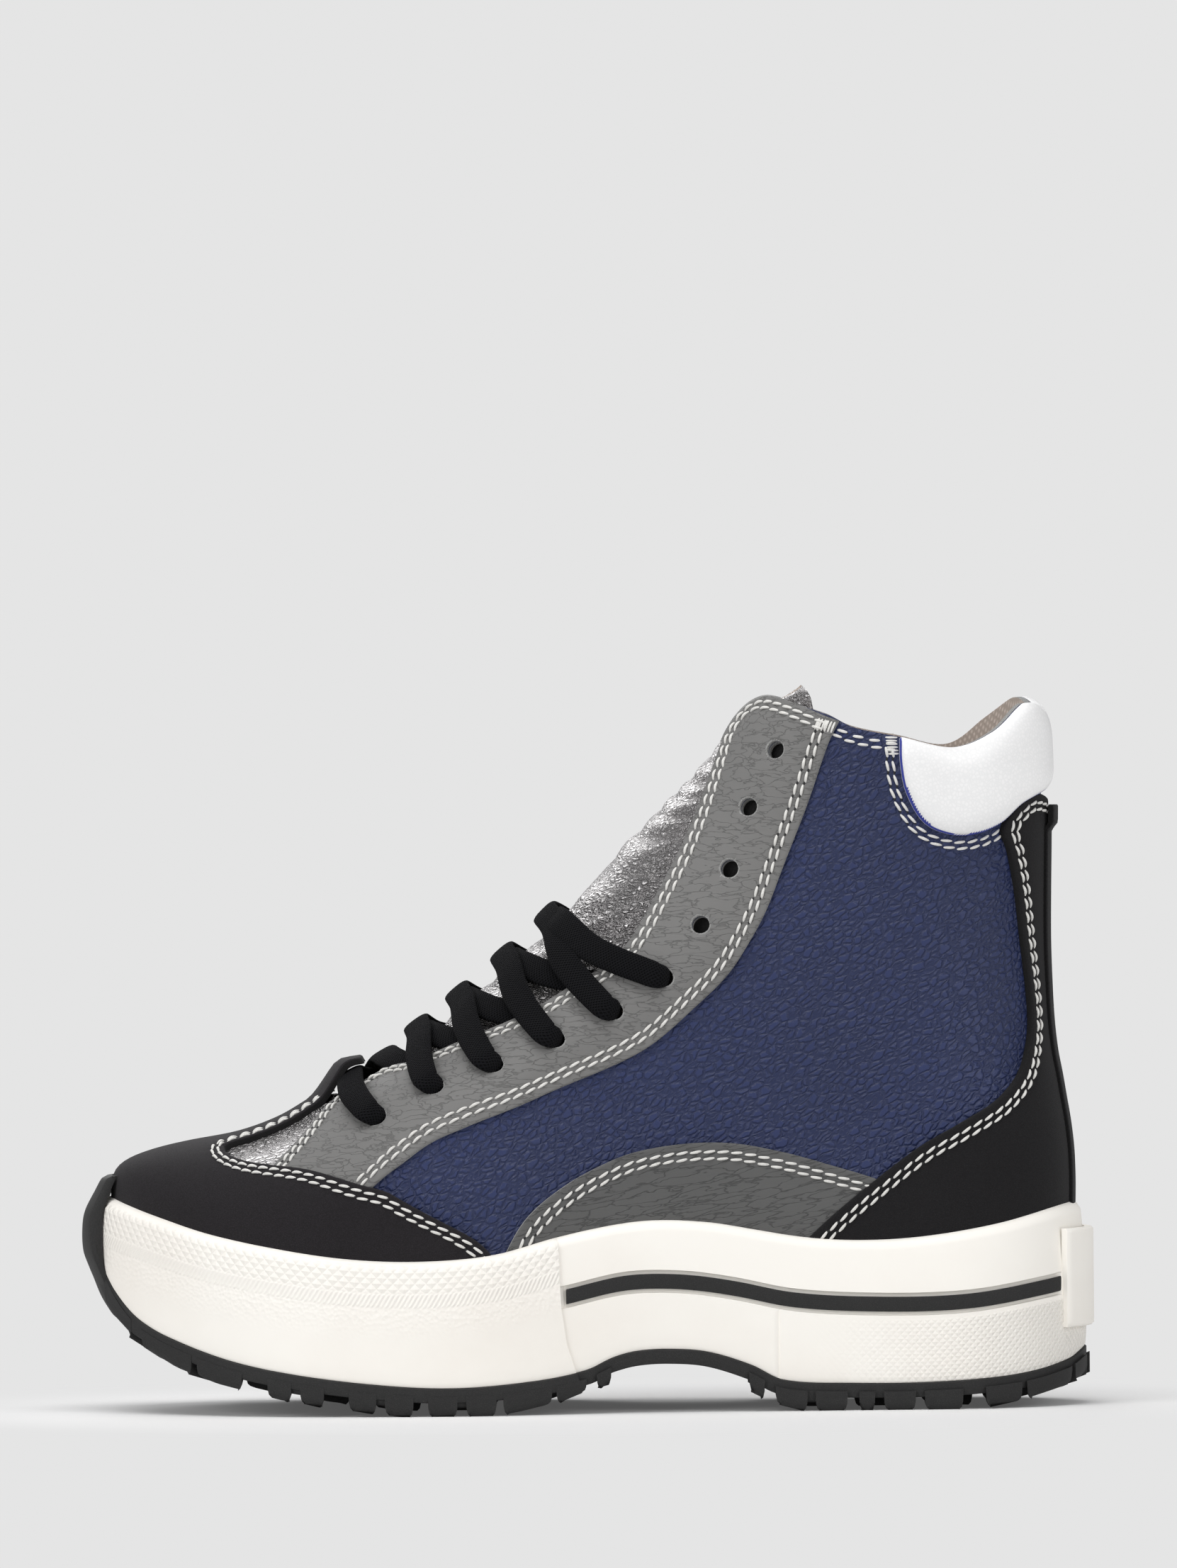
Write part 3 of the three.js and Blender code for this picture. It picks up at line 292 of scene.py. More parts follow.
def inside(points, loops):
    """Which points lie inside an odd number of the loops."""
    hit = np.zeros(len(points), bool)
    for first in range(0, len(points), 4000):
        x, y = points[first : first + 4000, :1], points[first : first + 4000, 1:]
        odd = np.zeros(len(x), int)
        for loop in loops:
            a, b = loop, np.roll(loop, -1, 0)
            crosses = (a[:, 1] > y) != (b[:, 1] > y)
            lean = (b[:, 0] - a[:, 0]) / np.where(b[:, 1] == a[:, 1], 1e-12, b[:, 1] - a[:, 1])
            odd += (crosses & (x < lean * (y - a[:, 1]) + a[:, 0])).sum(1)
        hit[first : first + 4000] = odd % 2 == 1
    return hit


def distance_to(points, line, closed=True):
    """The distance of each point from a line, both in millimetres in space."""
    a = line if closed else line[:-1]
    b = np.roll(line, -1, 0) if closed else line[1:]
    edge = b - a
    square = np.maximum((edge**2).sum(1), 1e-9)
    best = np.empty(len(points))
    for first in range(0, len(points), 1500):
        p = points[first : first + 1500]
        share = np.clip(((p[:, None] - a) * edge).sum(2) / square, 0, 1)
        gap = p[:, None] - a - share[..., None] * edge
        best[first : first + 1500] = np.sqrt((gap**2).sum(2).min(1))
    return best


def stretch_at(line, h=0.4):
    """How the last moves for a millimetre across and a millimetre up the pattern."""
    across = (lasted(line + (h, 0)) - lasted(line - (h, 0))) / (2 * h)
    rise = (lasted(line + (0, h)) - lasted(line - (0, h))) / (2 * h)
    return across, rise


def moved_in(line, distance, loop, closed=False):
    """A line of the pattern moved towards the inside of a loop by millimetres on the last."""
    here, facing = lasted(line), pulled(line)
    if closed:
        tangent = unit(np.roll(here, -1, 0) - np.roll(here, 1, 0))
    else:
        tangent = unit(np.gradient(here, axis=0))
    inward = np.cross(facing, tangent)
    across, rise = stretch_at(line)
    aa, ar, rr = (across**2).sum(1), (across * rise).sum(1), (rise**2).sum(1)
    pa, pr = (inward * across).sum(1), (inward * rise).sum(1)
    det = aa * rr - ar**2
    step = np.stack([(pa * rr - pr * ar) / det, (pr * aa - pa * ar) / det], -1)
    if inside(line + 0.3 * step, [loop]).mean() < 0.5:
        step = -step
    return line + distance * step


def mesh_object(name, points, faces, materials, face_materials=None, attributes=None, crease=50):
    """A smooth-shaded object from points in millimetres in the shoe's frame."""
    mesh = bpy.data.meshes.new(name)
    mesh.from_pydata((np.asarray(points) * 0.001).tolist(), [], [tuple(map(int, f)) for f in faces])
    for material in materials:
        mesh.materials.append(material)
    if face_materials is not None:
        mesh.polygons.foreach_set("material_index", np.asarray(face_materials, np.int32))
    for key, values in (attributes or {}).items():
        mesh.attributes.new(key, "FLOAT", "POINT").data.foreach_set("value", np.asarray(values, np.float32))
    mesh.shade_smooth()
    mesh.set_sharp_from_angle(angle=math.radians(crease))
    mesh.validate()
    made = bpy.data.objects.new(name, mesh)
    scene.collection.objects.link(made)
    return made


def laid_out(loop, holes, rings, grid):
    """Fills an outline of the pattern with triangles: close rows along its edge, an even grid inside."""
    loops = [loop, *holes]
    edge = lasted(loop)
    hole_edges = [lasted(hole) for hole in holes]
    more = []
    for ring in rings:
        row = moved_in(loop, ring, loop, closed=True)
        row = row[inside(row, loops)]
        far = distance_to(lasted(row), edge) > 0.93 * ring
        for hole_edge in hole_edges:
            far &= distance_to(lasted(row), hole_edge) > 0.5
        more.append(row[far])
    low, high = loop.min(0), loop.max(0)
    across = np.arange(low[0], high[0], grid)
    rise = np.arange(low[1], high[1], grid * 0.87)
    gx, gy = np.meshgrid(across, rise)
    gx = gx + (np.arange(len(rise)) % 2)[:, None] * grid / 2
    cloud = np.stack([gx.ravel(), gy.ravel()], -1)
    cloud = cloud[inside(cloud, loops)]
    far = distance_to(lasted(cloud), edge) > max(rings) + 0.55 * grid
    for hole_edge in hole_edges:
        far &= distance_to(lasted(cloud), hole_edge) > 0.8
    more.append(cloud[far])
    for hole in holes:
        more.append(hole + 0.16 * (hole - hole.mean(0)))
    points = np.concatenate([*loops, *more])
    edges, start = [], 0
    for line in loops:
        n = len(line)
        edges += [(start + i, start + (i + 1) % n) for i in range(n)]
        start += n
    found = delaunay_2d_cdt([Vector(p) for p in points.tolist()], edges, [], 0, 1e-5)
    points = np.array([tuple(v) for v in found[0]])
    faces = np.array([f for f in found[2] if len(f) == 3])
    faces = faces[inside(points[faces].mean(1), loops)]
    turn = np.cross(points[faces[:, 1]] - points[faces[:, 0]], points[faces[:, 2]] - points[faces[:, 0]])
    faces[turn < 0] = faces[turn < 0][:, ::-1]
    # Edges used by one face only are the rims of the piece.
    sides = np.concatenate([faces[:, [0, 1]], faces[:, [1, 2]], faces[:, [2, 0]]])
    used = {}
    for a, b in sides.tolist():
        used[(a, b)] = True
    rims = [(a, b) for a, b in used if (b, a) not in used]
    return points, faces, rims


FURROW_DEPTH, FURROW_WIDTH = 0.16, 0.75  # millimetres that a row of stitches presses into the leather


def leather_piece(name, loop, holes=(), low=-0.1, high=1.1, edge=0.6, rings=(0.3, 0.7), grid=1.4,
                  seams=(), relief=None, lift=None, materials=(), front=None):
    """A piece of leather on the last, with rolled edges and a furrow under each row of stitches."""
    pattern, faces, rims = laid_out(loop, holes, sorted(rings), grid)
    flat = lasted(pattern)
    gap = distance_to(flat, lasted(loop))
    rim_gap = gap.copy()
    for hole in holes:
        rim_gap = np.minimum(rim_gap, distance_to(flat, lasted(hole)))
    out = high - 0.6 * edge * (1 - rounded(rim_gap, edge))
    for row in seams:
        row_gap = distance_to(flat, lasted(row), closed=False)
        out = out - FURROW_DEPTH * np.exp(-((row_gap / FURROW_WIDTH) ** 2))
    if relief is not None:
        out = out + relief(pattern, flat, gap)
    inner = np.full(len(pattern), float(low))
    if lift is not None:
        out, inner = out + lift(pattern), inner + lift(pattern)
    n = len(pattern)
    points = np.concatenate([lasted(pattern, out), lasted(pattern, inner)])
    turned = np.cross(
        points[faces[:, 1]] - points[faces[:, 0]], points[faces[:, 2]] - points[faces[:, 0]]
    )
    outwards = ((turned * pulled(pattern[faces[:, 0]])).sum(1) > 0).mean() > 0.5
    top = faces if outwards else faces[:, ::-1]
    back = faces[:, ::-1] if outwards else faces
    walls = [(b, a, a + n, b + n) if outwards else (a, b, b + n, a + n) for a, b in rims]
    kinds = np.r_[np.zeros(len(top)), np.full(len(back), 2), np.ones(len(walls))]
    if front is not None:
        kinds[: len(top)] = front(pattern[faces].mean(1))
    made = mesh_object(name, points, top.tolist() + (back + n).tolist() + walls, materials, kinds)
    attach(made, "root")
    return made


def tones(tree, factor, dark, colour):
    """A colour that goes from the dark tone to the full one."""
    mixed = add(tree, "ShaderNodeMix", {0: factor, 6: (*dark, 1.0), 7: (*colour, 1.0)}, data_type="RGBA")
    return mixed.outputs[2]


def raised(tree, height, strength, millimetres):
    """The normals of a relief."""
    bump = add(
        tree, "ShaderNodeBump", {"Height": height, "Strength": strength, "Distance": millimetres * 0.001}
    )
    return bump.outputs["Normal"]


def coated(tree, inputs):
    """Ends a material in one shader with these inputs."""
    shader = add(tree, "ShaderNodeBsdfPrincipled", inputs)
    add(tree, "ShaderNodeOutputMaterial", {"Surface": shader.outputs["BSDF"]})


def grain(tree, size, stretch, warp, fine, seed, crack, turn):
    """Leather grain in millimetres: its height, its pebbles between furrows, and its finest dust."""
    place = add(tree, "ShaderNodeTexCoord")
    laid = {
        "Vector": place.outputs["Object"],
        "Location": (0.01 * seed, 0.02 * seed, 0.03 * seed),
        "Rotation": (0, turn, 0),
        "Scale": [0.001 * size / s for s in stretch],
    }
    scaled = add(tree, "ShaderNodeMapping", laid, vector_type="TEXTURE").outputs["Vector"]
    drift = add(tree, "ShaderNodeTexNoise", {"Vector": scaled, "Scale": 0.9, "Detail": 3.0})
    bend = add(
        tree, "ShaderNodeVectorMath", {0: drift.outputs["Color"], 1: (warp * 2,) * 3, 2: scaled},
        operation="MULTIPLY_ADD",
    )
    cells = add(
        tree, "ShaderNodeTexVoronoi", {"Vector": bend.outputs["Vector"], "Scale": 1.0},
        feature="DISTANCE_TO_EDGE",
    )
    dome = add(
        tree, "ShaderNodeMapRange", {"Value": cells.outputs["Distance"], "From Max": crack},
        interpolation_type="SMOOTHSTEP",
    ).outputs["Result"]
    dust = add(tree, "ShaderNodeTexNoise", {"Vector": scaled, "Scale": 3.5, "Detail": 5.0}).outputs["Fac"]
    height = add(tree, "ShaderNodeMath", {0: dust, 1: fine, 2: dome}, operation="MULTIPLY_ADD")
    return height.outputs["Value"], dome, dust


def leather(name, colour, dark, size=1.6, depth=0.16, strength=0.6, rough=(0.42, 0.62), stretch=(1, 1, 1),
            warp=0.35, fine=0.25, metallic=0.0, coat=0.0, sheen=0.0, seed=0.0, crack=0.32, turn=0.0,
            specular=0.5):
    """Leather, nubuck or moulded rubber: its colour painted darker in the furrows of its grain as shade, and
    uneven in tone from place to place.
    """
    material, tree = new_material(name)
    height, dome, dust = grain(tree, size, stretch, warp, fine, seed, crack, turn)
    place = add(tree, "ShaderNodeTexCoord")
    wear = add(tree, "ShaderNodeTexNoise", {"Vector": place.outputs["Object"], "Scale": 22.0, "Detail": 4.0})
    tone = add(tree, "ShaderNodeMapRange", {"Value": wear.outputs["Fac"], "To Min": 0.86, "To Max": 1.12})
    # The base colour falls to the dark tone in the furrows between pebbles: painted shade.
    shade = add(
        tree, "ShaderNodeVectorMath", {0: tones(tree, dome, dark, colour), "Scale": tone.outputs["Result"]},
        operation="SCALE",
    )
    gloss = add(tree, "ShaderNodeMapRange", {"Value": dust, "To Min": rough[0], "To Max": rough[1]})
    coated(tree, {
        "Base Color": shade.outputs["Vector"],
        "Roughness": gloss.outputs["Result"],
        "Normal": raised(tree, height, strength, depth),
        "Metallic": metallic,
        "Coat Weight": coat,
        "Coat Roughness": 0.35,
        "Sheen Weight": sheen,
        "Specular IOR Level": specular,
    })
    return material


def woven(tree, place, turns, scale, crossing, ribs):
    """The height of two sets of ribs laid across one another."""
    heights = []
    for turn in turns:
        lay = add(tree, "ShaderNodeMapping", {"Vector": place, "Rotation": turn, "Scale": (scale,) * 3})
        rib = add(tree, "ShaderNodeTexWave", {"Vector": lay.outputs["Vector"], **ribs})
        heights.append(rib.outputs["Fac"])
    return add(tree, "ShaderNodeMath", dict(enumerate(heights)), operation=crossing).outputs["Value"]


def cloth(name, colour, dark, pitch, depth):
    """A plain weave in millimetres, its colour painted darker where the threads dip, as shade."""
    material, tree = new_material(name)
    place = add(tree, "ShaderNodeTexCoord").outputs["Object"]
    turns = ((0.0, 0.6, 0.9), (0.7, 0.0, -0.7))
    ribs = {"Scale": 0.3, "Distortion": 1.2, "Detail Scale": 2.0}
    weave = woven(tree, place, turns, 1000 / pitch, "MULTIPLY", ribs)
    coated(tree, {
        "Base Color": tones(tree, weave, dark, colour),
        "Normal": raised(tree, weave, 0.8, depth),
        "Roughness": 0.9,
        "Sheen Weight": 0.3,
    })
    return material


# Each leather's second colour is the painted shade that its furrows take.
navy = leather("navy_pebbled_leather", (0.024, 0.035, 0.105), (0.016, 0.024, 0.074), size=2.3, depth=0.46,
               strength=0.9, rough=(0.36, 0.5), stretch=(0.75, 1.0, 1.3), warp=0.45, fine=0.2, crack=0.26,
               turn=0.6, specular=0.36)
silver = leather("silver_crinkled_leather", (0.8, 0.78, 0.78), (0.26, 0.25, 0.25), size=1.9, depth=1.1,
                 strength=1.0, rough=(0.14, 0.3), stretch=(0.75, 1.0, 1.5), warp=0.9, fine=0.3, metallic=0.85,
                 crack=0.42)
lining = cloth("beige_lining", (0.66, 0.57, 0.51), (0.44, 0.37, 0.32), 0.9, 0.12)
raw_edge = leather("raw_leather_edge", (0.42, 0.42, 0.41), (0.24, 0.24, 0.235), size=0.35, depth=0.12,
                   strength=0.8, rough=(0.8, 0.95))

# Top edge from the throat's foot round the collar to the heel: along, up
TOP_EDGE = [
    (0.757, 0.36), (0.714, 0.402), (0.682, 0.416), (0.628, 0.446), (0.564, 0.478), (0.517, 0.513),
    (0.47, 0.554), (0.432, 0.64), (0.401, 0.736), (0.37, 0.857), (0.347, 0.935), (0.324, 0.972), (0.3, 0.981),
    (0.25, 0.952), (0.22, 0.927), (0.171, 0.906), (0.116, 0.881), (0.075, 0.9), (0.047, 0.938),
    (0.036, 0.945), (0.0, 0.925),
]
EYELETS = [  # along, up
    (0.721, 0.322), (0.661, 0.369), (0.599, 0.396), (0.535, 0.425), (0.474, 0.46), (0.421, 0.508),
    (0.382, 0.594), (0.351, 0.689), (0.33, 0.794), (0.301, 0.891),
]
EYELET_RADIUS = 2.5
HEM = -0.02  # level of the lower edges, hidden behind the rim of the sole


def punched(along, up, side, radius, count=22):
    """A round hole of the pattern."""
    centre = marked([(along, up)], side)
    across, rise = (move[0] for move in stretch_at(centre))
    first = unit(across)
    second = np.cross(pulled(centre)[0], first)
    turn = np.linspace(0, 2 * math.pi, count, endpoint=False)
    ring = radius * (np.cos(turn)[:, None] * first + np.sin(turn)[:, None] * second)
    return centre + ring @ np.linalg.pinv(np.stack([across, rise], 1)).T


INNER_RISE, RISE_ALONG, RISE_REACH = 0.024, 0.07, 0.032


def top_edge_of(side):
    """The top edge, which stands a little higher beside the heel on the inner side."""
    rows = np.array(TOP_EDGE)
    if side < 0:
        beside_heel = np.exp(-(((rows[:, 0] - RISE_ALONG) / RISE_REACH) ** 2)) * (rows[:, 1] < 0.96)
        rows[:, 1] += INNER_RISE * beside_heel
    return marked(rows, side)


top_line = {side: through(top_edge_of(side)) for side in (1, -1)}
half_turn = math.pi * PATTERN[0]
HIDDEN_STEP, UNDER_STEP = 1.2, 1.6  # coarser steps for edges that lie hidden or under the foot
back_low, back_high = HEM * PATTERN[1], TOP_EDGE[-1][1] * PATTERN[1]
heel_rise = evenly(np.linspace((half_turn, back_low), (half_turn, back_high), 60), HIDDEN_STEP)
under = evenly(np.linspace((-half_turn, back_low), (half_turn, back_low), 400), UNDER_STEP)
for side in (1, -1):
    top_line[side][-1] = (side * half_turn, back_high)
throat_foot = evenly(np.linspace(top_line[1][0], top_line[-1][0], 40))
upper_outline = joined(
    under, heel_rise, top_line[1][::-1], throat_foot, top_line[-1], (heel_rise * (-1, 1))[::-1]
)
upper_holes = [punched(a, u, side, EYELET_RADIUS) for a, u in EYELETS for side in (1, -1)]
# The vamp ends under the eyestays: up, along
VAMP_END = np.array([
    (0.0, 0.8), (0.2, 0.79), (0.27, 0.745), (0.33, 0.71), (0.36, 0.69), (0.42, 0.6), (0.46, 0.52),
    (0.56, 0.45),
])
half_way = len(top_line[1]) // 2
throat_edge = np.concatenate([lasted(top_line[side][:half_way]) for side in (1, -1)])
RAW_WIDTH = 2.2  # millimetres of raw leather that show along the throat
DRAPE_DEPTH, DRAPE_FULL = 0.18, 8.0  # millimetres, and how far from the edge they are reached


def vamp_or_quarter(pattern):
    """Which leather the outer face shows: navy, raw at the throat's edge, or silver on the vamp."""
    angle, up = pattern[:, 0] / PATTERN[0], pattern[:, 1] / PATTERN[1]
    along = last_point(angle, up)[:, 0] / LAST_LENGTH
    raw = (distance_to(lasted(pattern), throat_edge) < RAW_WIDTH) & (up < 0.975) & (up > 0.36)
    return np.where(raw, 1, np.where(along > np.interp(up, VAMP_END[:, 0], VAMP_END[:, 1]), 3, 0))


def drape(pattern, flat, gap):
    """The quarters sink and swell a little between their seams."""
    x, z = flat[:, 0], flat[:, 2]
    slow = np.sin(x / 17 + z / 23) * np.sin(z / 19 - x / 31)
    return DRAPE_DEPTH * slow * np.clip(gap / DRAPE_FULL, 0, 1)


upper = leather_piece(
    "quarters_and_vamp", upper_outline, upper_holes, low=-WALL, high=0.0, edge=0.9, rings=(0.35, 0.9),
    grid=1.7, relief=drape, materials=(navy, raw_edge, lining, silver), front=vamp_or_quarter,
)
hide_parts("upper")

# Eyestays. Grey split leather with a soft fine grain, one on each side of the throat, sewn on top of the
# quarters with two rows of white thread and punched with ten plain eyelet holes each.
OVERLAY = 1.2
REAR_EDGE = [
    (0.235, 0.938), (0.246, 0.903), (0.266, 0.812), (0.297, 0.685), (0.343, 0.534), (0.388, 0.456),
    (0.449, 0.384), (0.554, 0.333), (0.629, 0.301), (0.674, 0.274), (0.727, 0.21), (0.74, 0.185),
]
FRONT_EDGE = [(0.842, 0.2), (0.835, 0.215), (0.809, 0.269), (0.779, 0.33), (0.757, 0.36)]

grey = leather("grey_split_leather", (0.172, 0.17, 0.166), (0.122, 0.121, 0.118), size=4.2, depth=0.26,
               strength=0.6, rough=(0.55, 0.72), stretch=(0.5, 1.0, 1.9), warp=1.3, fine=0.35, seed=3.0,
               crack=0.06, specular=0.35)


def part_of(line, first, last):
    """The stretch of a line between the points nearest two others."""
    near = [int(np.linalg.norm(lasted(line) - lasted(p), axis=1).argmin()) for p in (first, last)]
    return line[near[0] : near[1] + 1]


seam_rows, seam_heights = [], []
EDGE_CLEAR = 1.7  # the least distance in millimetres between a stitch and any edge of its piece


def stitched(line, loop, distances, height=OVERLAY):
    """Rows of stitches beside a line, kept for the thread and for the furrows that they press."""
    rows = []
    for distance in distances:
        row = moved_in(line, distance, loop)
        clear = distance_to(lasted(row), lasted(line), closed=False) > 0.9 * distance
        clear &= distance_to(lasted(row), lasted(loop)) > min(EDGE_CLEAR, 0.9 * distance)
        rows.append(evenly(row[clear]))
    seam_rows.extend(rows)
    seam_heights.extend([height] * len(rows))
    return rows


ROWS_FRONT, ROWS_REAR = (1.9, 3.8), (2.6, 4.5)  # millimetres from the edge to each row of stitches
REAR_FOOT_POINTS = 5  # points of the rear edge that the toe cap covers, without stitches
THROAT_END = [(0.25, 0.952)]
STEP_BACK, MORE_STEP_BACK = 0.35, 0.9  # millimetres of raw upper beside the throat, more towards the top
TORN_WIDTH = 0.4  # the pale ring round an eyelet
SIDES = ((1, "lateral"), (-1, "medial"))
for side, word in SIDES:
    line = top_line[side]
    throat = part_of(line, line[:1], marked(THROAT_END, side))
    up = throat[:, 1] / PATTERN[1]
    raw = STEP_BACK + MORE_STEP_BACK * ease_between(up, 0.6, 0.85)
    raw = raw * (1 - ease_between(up, 0.93, 0.975) * np.linspace(0, 1, len(raw)))
    throat = throat + (moved_in(throat, 1.0, upper_outline) - throat) * raw[:, None]
    rear = through(marked(REAR_EDGE, side))
    front_line = through(marked(FRONT_EDGE, side))
    shoulder = evenly(np.stack([throat[-1], rear[0]]))
    foot = evenly(np.stack([rear[-1], front_line[0]]))
    loop = joined(throat, shoulder, rear, foot, front_line)
    rows = stitched(np.concatenate([front_line[6:-1], throat]), loop, ROWS_FRONT)
    rows += stitched(rear[:-REAR_FOOT_POINTS], loop, ROWS_REAR)
    holes = [punched(a, u, side, EYELET_RADIUS) for a, u in EYELETS]
    middles = lasted(np.array([hole.mean(0) for hole in holes]))

    def torn_rims(pattern):
        """The raw leather shows in a narrow ring round each eyelet."""
        reach = np.linalg.norm(lasted(pattern)[:, None] - middles, axis=2).min(1)
        return np.where(reach < EYELET_RADIUS + TORN_WIDTH, 1, 0)

    made = leather_piece(
        "eyestay_leather_" + word, loop, holes, high=OVERLAY, edge=0.45, grid=1.5, seams=rows,
        materials=(grey, raw_edge, lining), front=torn_rims,
    )
    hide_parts("eyestay_" + word)

# Side panels. A wave of darker grey leather low on each side, sewn on the quarters with two rows of
# white thread, its lower edge lasted under into the sole and its ends under the toe cap and the counter.
WAVE = [
    (0.63, 0.02), (0.606, 0.03), (0.575, 0.118), (0.545, 0.16), (0.503, 0.193), (0.45, 0.217), (0.361, 0.222),
    (0.301, 0.206), (0.242, 0.177), (0.206, 0.157), (0.19, 0.145),
]
dark_grey = leather("dark_grey_leather", (0.105, 0.105, 0.104), (0.066, 0.066, 0.066), size=4.6, depth=0.3,
                    strength=0.6, rough=(0.6, 0.75), stretch=(0.4, 1.0, 2.2), warp=1.2, fine=0.35, seed=7.0,
                    crack=0.07, turn=0.2, specular=0.35)
UNDER_COUNTER = [(0.19, 0.145), (0.24, 0.08), (0.3, 0.02)]
UNDER_SOLE = [(0.3, 0.02), (0.45, 0.02), (0.63, 0.02)]
PANEL_ROWS = (2.5, 4.4)
for side, word in SIDES:
    wave = through(marked(WAVE, side))
    loop = joined(wave, through(marked(UNDER_COUNTER, side)), through(marked(UNDER_SOLE, side)))
    rows = stitched(wave[4:], loop, PANEL_ROWS)
    made = leather_piece(
        "side_panel_leather_" + word, loop, high=OVERLAY, edge=0.45, grid=1.5, seams=rows,
        materials=(dark_grey, raw_edge, lining),
    )
    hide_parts("side_panel_" + word)

# Toe cap. Black nubuck round the toe, cut in one with a strip that runs up the ridge of the vamp and
# ends in a keeper, lifted over the first crossing of the laces.
CAP_EDGE = [
    (0.594, 0.03), (0.609, 0.087), (0.646, 0.135), (0.705, 0.194), (0.735, 0.21), (0.794, 0.228),
    (0.862, 0.221),
]
CAP_TOP = 2.0
STRIP_EDGE = np.array([  # on the flat pattern: millimetres from the ridge and from the footbed
    (34.0, 36.4), (25.4, 39.2), (23.4, 46.0), (22.6, 53.0), (21.5, 59.0), (18.5, 62.4), (9.0, 63.4),
    (0.0, 63.6),
])
STRIP_SEAM_END = (22.4, 56.0)
KEEPER_FROM, KEEPER_TO, KEEPER_LIFT = 0.333, 0.388, 6.4
CURL_FROM, CURL_TO, CURL_SHARE = 0.372, 0.4, 0.42  # the keeper's end turns down again over the lace
CAP_ROWS = (1.7, 3.6)


def nubuck(name, colour, dark, seed):
    """Leather buffed to a matt nap."""
    return leather(name, colour, dark, size=0.45, depth=0.05, strength=0.55, rough=(0.82, 0.95), warp=0.5,
                   fine=1.2, sheen=0.06, seed=seed, specular=0.12)


toe_nubuck = nubuck("toe_nubuck", (0.025, 0.0225, 0.0255), (0.016, 0.0145, 0.016), 11.0)
nubuck_edge = nubuck("nubuck_cut_edge", (0.016, 0.015, 0.016), (0.01, 0.01, 0.01), 12.0)
cap_side = {}
for side in (1, -1):
    cap_side[side] = through(np.concatenate([marked(CAP_EDGE), STRIP_EDGE]) * (side, 1))
toe_foot = evenly(np.stack([cap_side[-1][0], cap_side[1][0]]), HIDDEN_STEP)
loop = joined(cap_side[1], cap_side[-1][::-1], toe_foot)
rows = []
for side in (1, -1):
    seam_end = np.array([STRIP_SEAM_END]) * (side, 1)
    rows += stitched(part_of(cap_side[side], cap_side[side][4:5], seam_end), loop, CAP_ROWS, CAP_TOP)


def keeper_rise(pattern):
    """Lifts the strip's end over the lace."""
    up = pattern[:, 1] / PATTERN[1]
    curl = CURL_SHARE * ease_between(up, CURL_FROM, CURL_TO)
    return KEEPER_LIFT * (ease_between(up, KEEPER_FROM, KEEPER_TO) - curl)


toe_cap = leather_piece(
    "toe_cap_nubuck", loop, high=CAP_TOP, edge=0.7, grid=1.4, seams=rows, lift=keeper_rise,
    materials=(toe_nubuck, nubuck_edge, nubuck_edge),
)
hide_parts("toe_cap")

# Heel counter. Black nubuck round the heel, rising to a point at the back seam, sewn on top of the
# quarters and the side panels.
COUNTER = [
    (0.29, 0.03), (0.272, 0.059), (0.235, 0.111), (0.163, 0.196), (0.114, 0.237), (0.069, 0.279),
    (0.045, 0.34), (0.04, 0.42), (0.051, 0.594), (0.06, 0.692), (0.067, 0.733), (0.056, 0.765),
    (0.038, 0.788), (0.028, 0.787), (0.0, 0.777),
]
COUNTER_ROWS = (2.4, 4.2)
heel_nubuck = nubuck("heel_nubuck", (0.017, 0.0165, 0.0175), (0.011, 0.0105, 0.0115), 17.0)


def over_heel(rows):
    """Points of the far side, with their angles counted on past the heel."""
    return rows * (-1, 1) + (2 * half_turn, 0)


near = through(marked(COUNTER))
far = over_heel(near)
loop = joined(near, far[::-1], evenly(np.stack([far[0], near[0]]), HIDDEN_STEP))
rows = stitched(near[3:-4], loop, COUNTER_ROWS, CAP_TOP) + stitched(far[3:-4], loop, COUNTER_ROWS, CAP_TOP)
counter = leather_piece(
    "heel_counter_nubuck", loop, high=CAP_TOP, edge=0.7, grid=1.4, seams=rows,
    materials=(heel_nubuck, nubuck_edge, nubuck_edge),
)
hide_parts("heel_counter")

# Backstay. A narrow strip of the heel's nubuck with pinked edges, laid over the back seam of the counter,
# its top end folded over into a thicker tab under the collar pad.
BACKSTAY_WIDTH, BACKSTAY_UNDER, BACKSTAY_TOP = 15.0, 1.4, 3.0
BACKSTAY_FROM, BACKSTAY_TO, PINKS, PINK_DEPTH = 0.03, 0.768, 160, 0.22
TAB_FROM, TAB_FULL, TAB_LIFT = 0.722, 0.74, 1.7


def heel_line(half_width, levels):
    """Points of the pattern short of the heel where the last is this half width, at rising levels."""
    steps = np.linspace(0, 0.7, 200)
    found = []
    for level in levels:
        reach = np.abs(last_point(math.pi - steps, level)[:, 1] - last_point(math.pi, level)[1])
        found.append(math.pi - np.interp(half_width, reach, steps))
    return np.stack([found, levels], -1) * PATTERN


levels = np.linspace(BACKSTAY_FROM, BACKSTAY_TO, PINKS)
zigzag = PINK_DEPTH * (np.arange(PINKS) % 2)
near = np.array([heel_line(BACKSTAY_WIDTH / 2 - z, [u])[0] for z, u in zip(zigzag, levels)])
far = over_heel(near)
loop = joined(near, evenly(np.stack([near[-1], far[-1]])), far[::-1], evenly(np.stack([far[0], near[0]])))


def folded_tab(pattern):
    """The tab stands out over the strip by its own fold."""
    return TAB_LIFT * ease_between(pattern[:, 1] / PATTERN[1], TAB_FROM, TAB_FULL)


backstay = leather_piece(
    "backstay_nubuck", loop, low=BACKSTAY_UNDER, high=BACKSTAY_TOP, edge=0.4, grid=1.3, lift=folded_tab,
    materials=(heel_nubuck, nubuck_edge, nubuck_edge),
)
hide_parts("backstay")

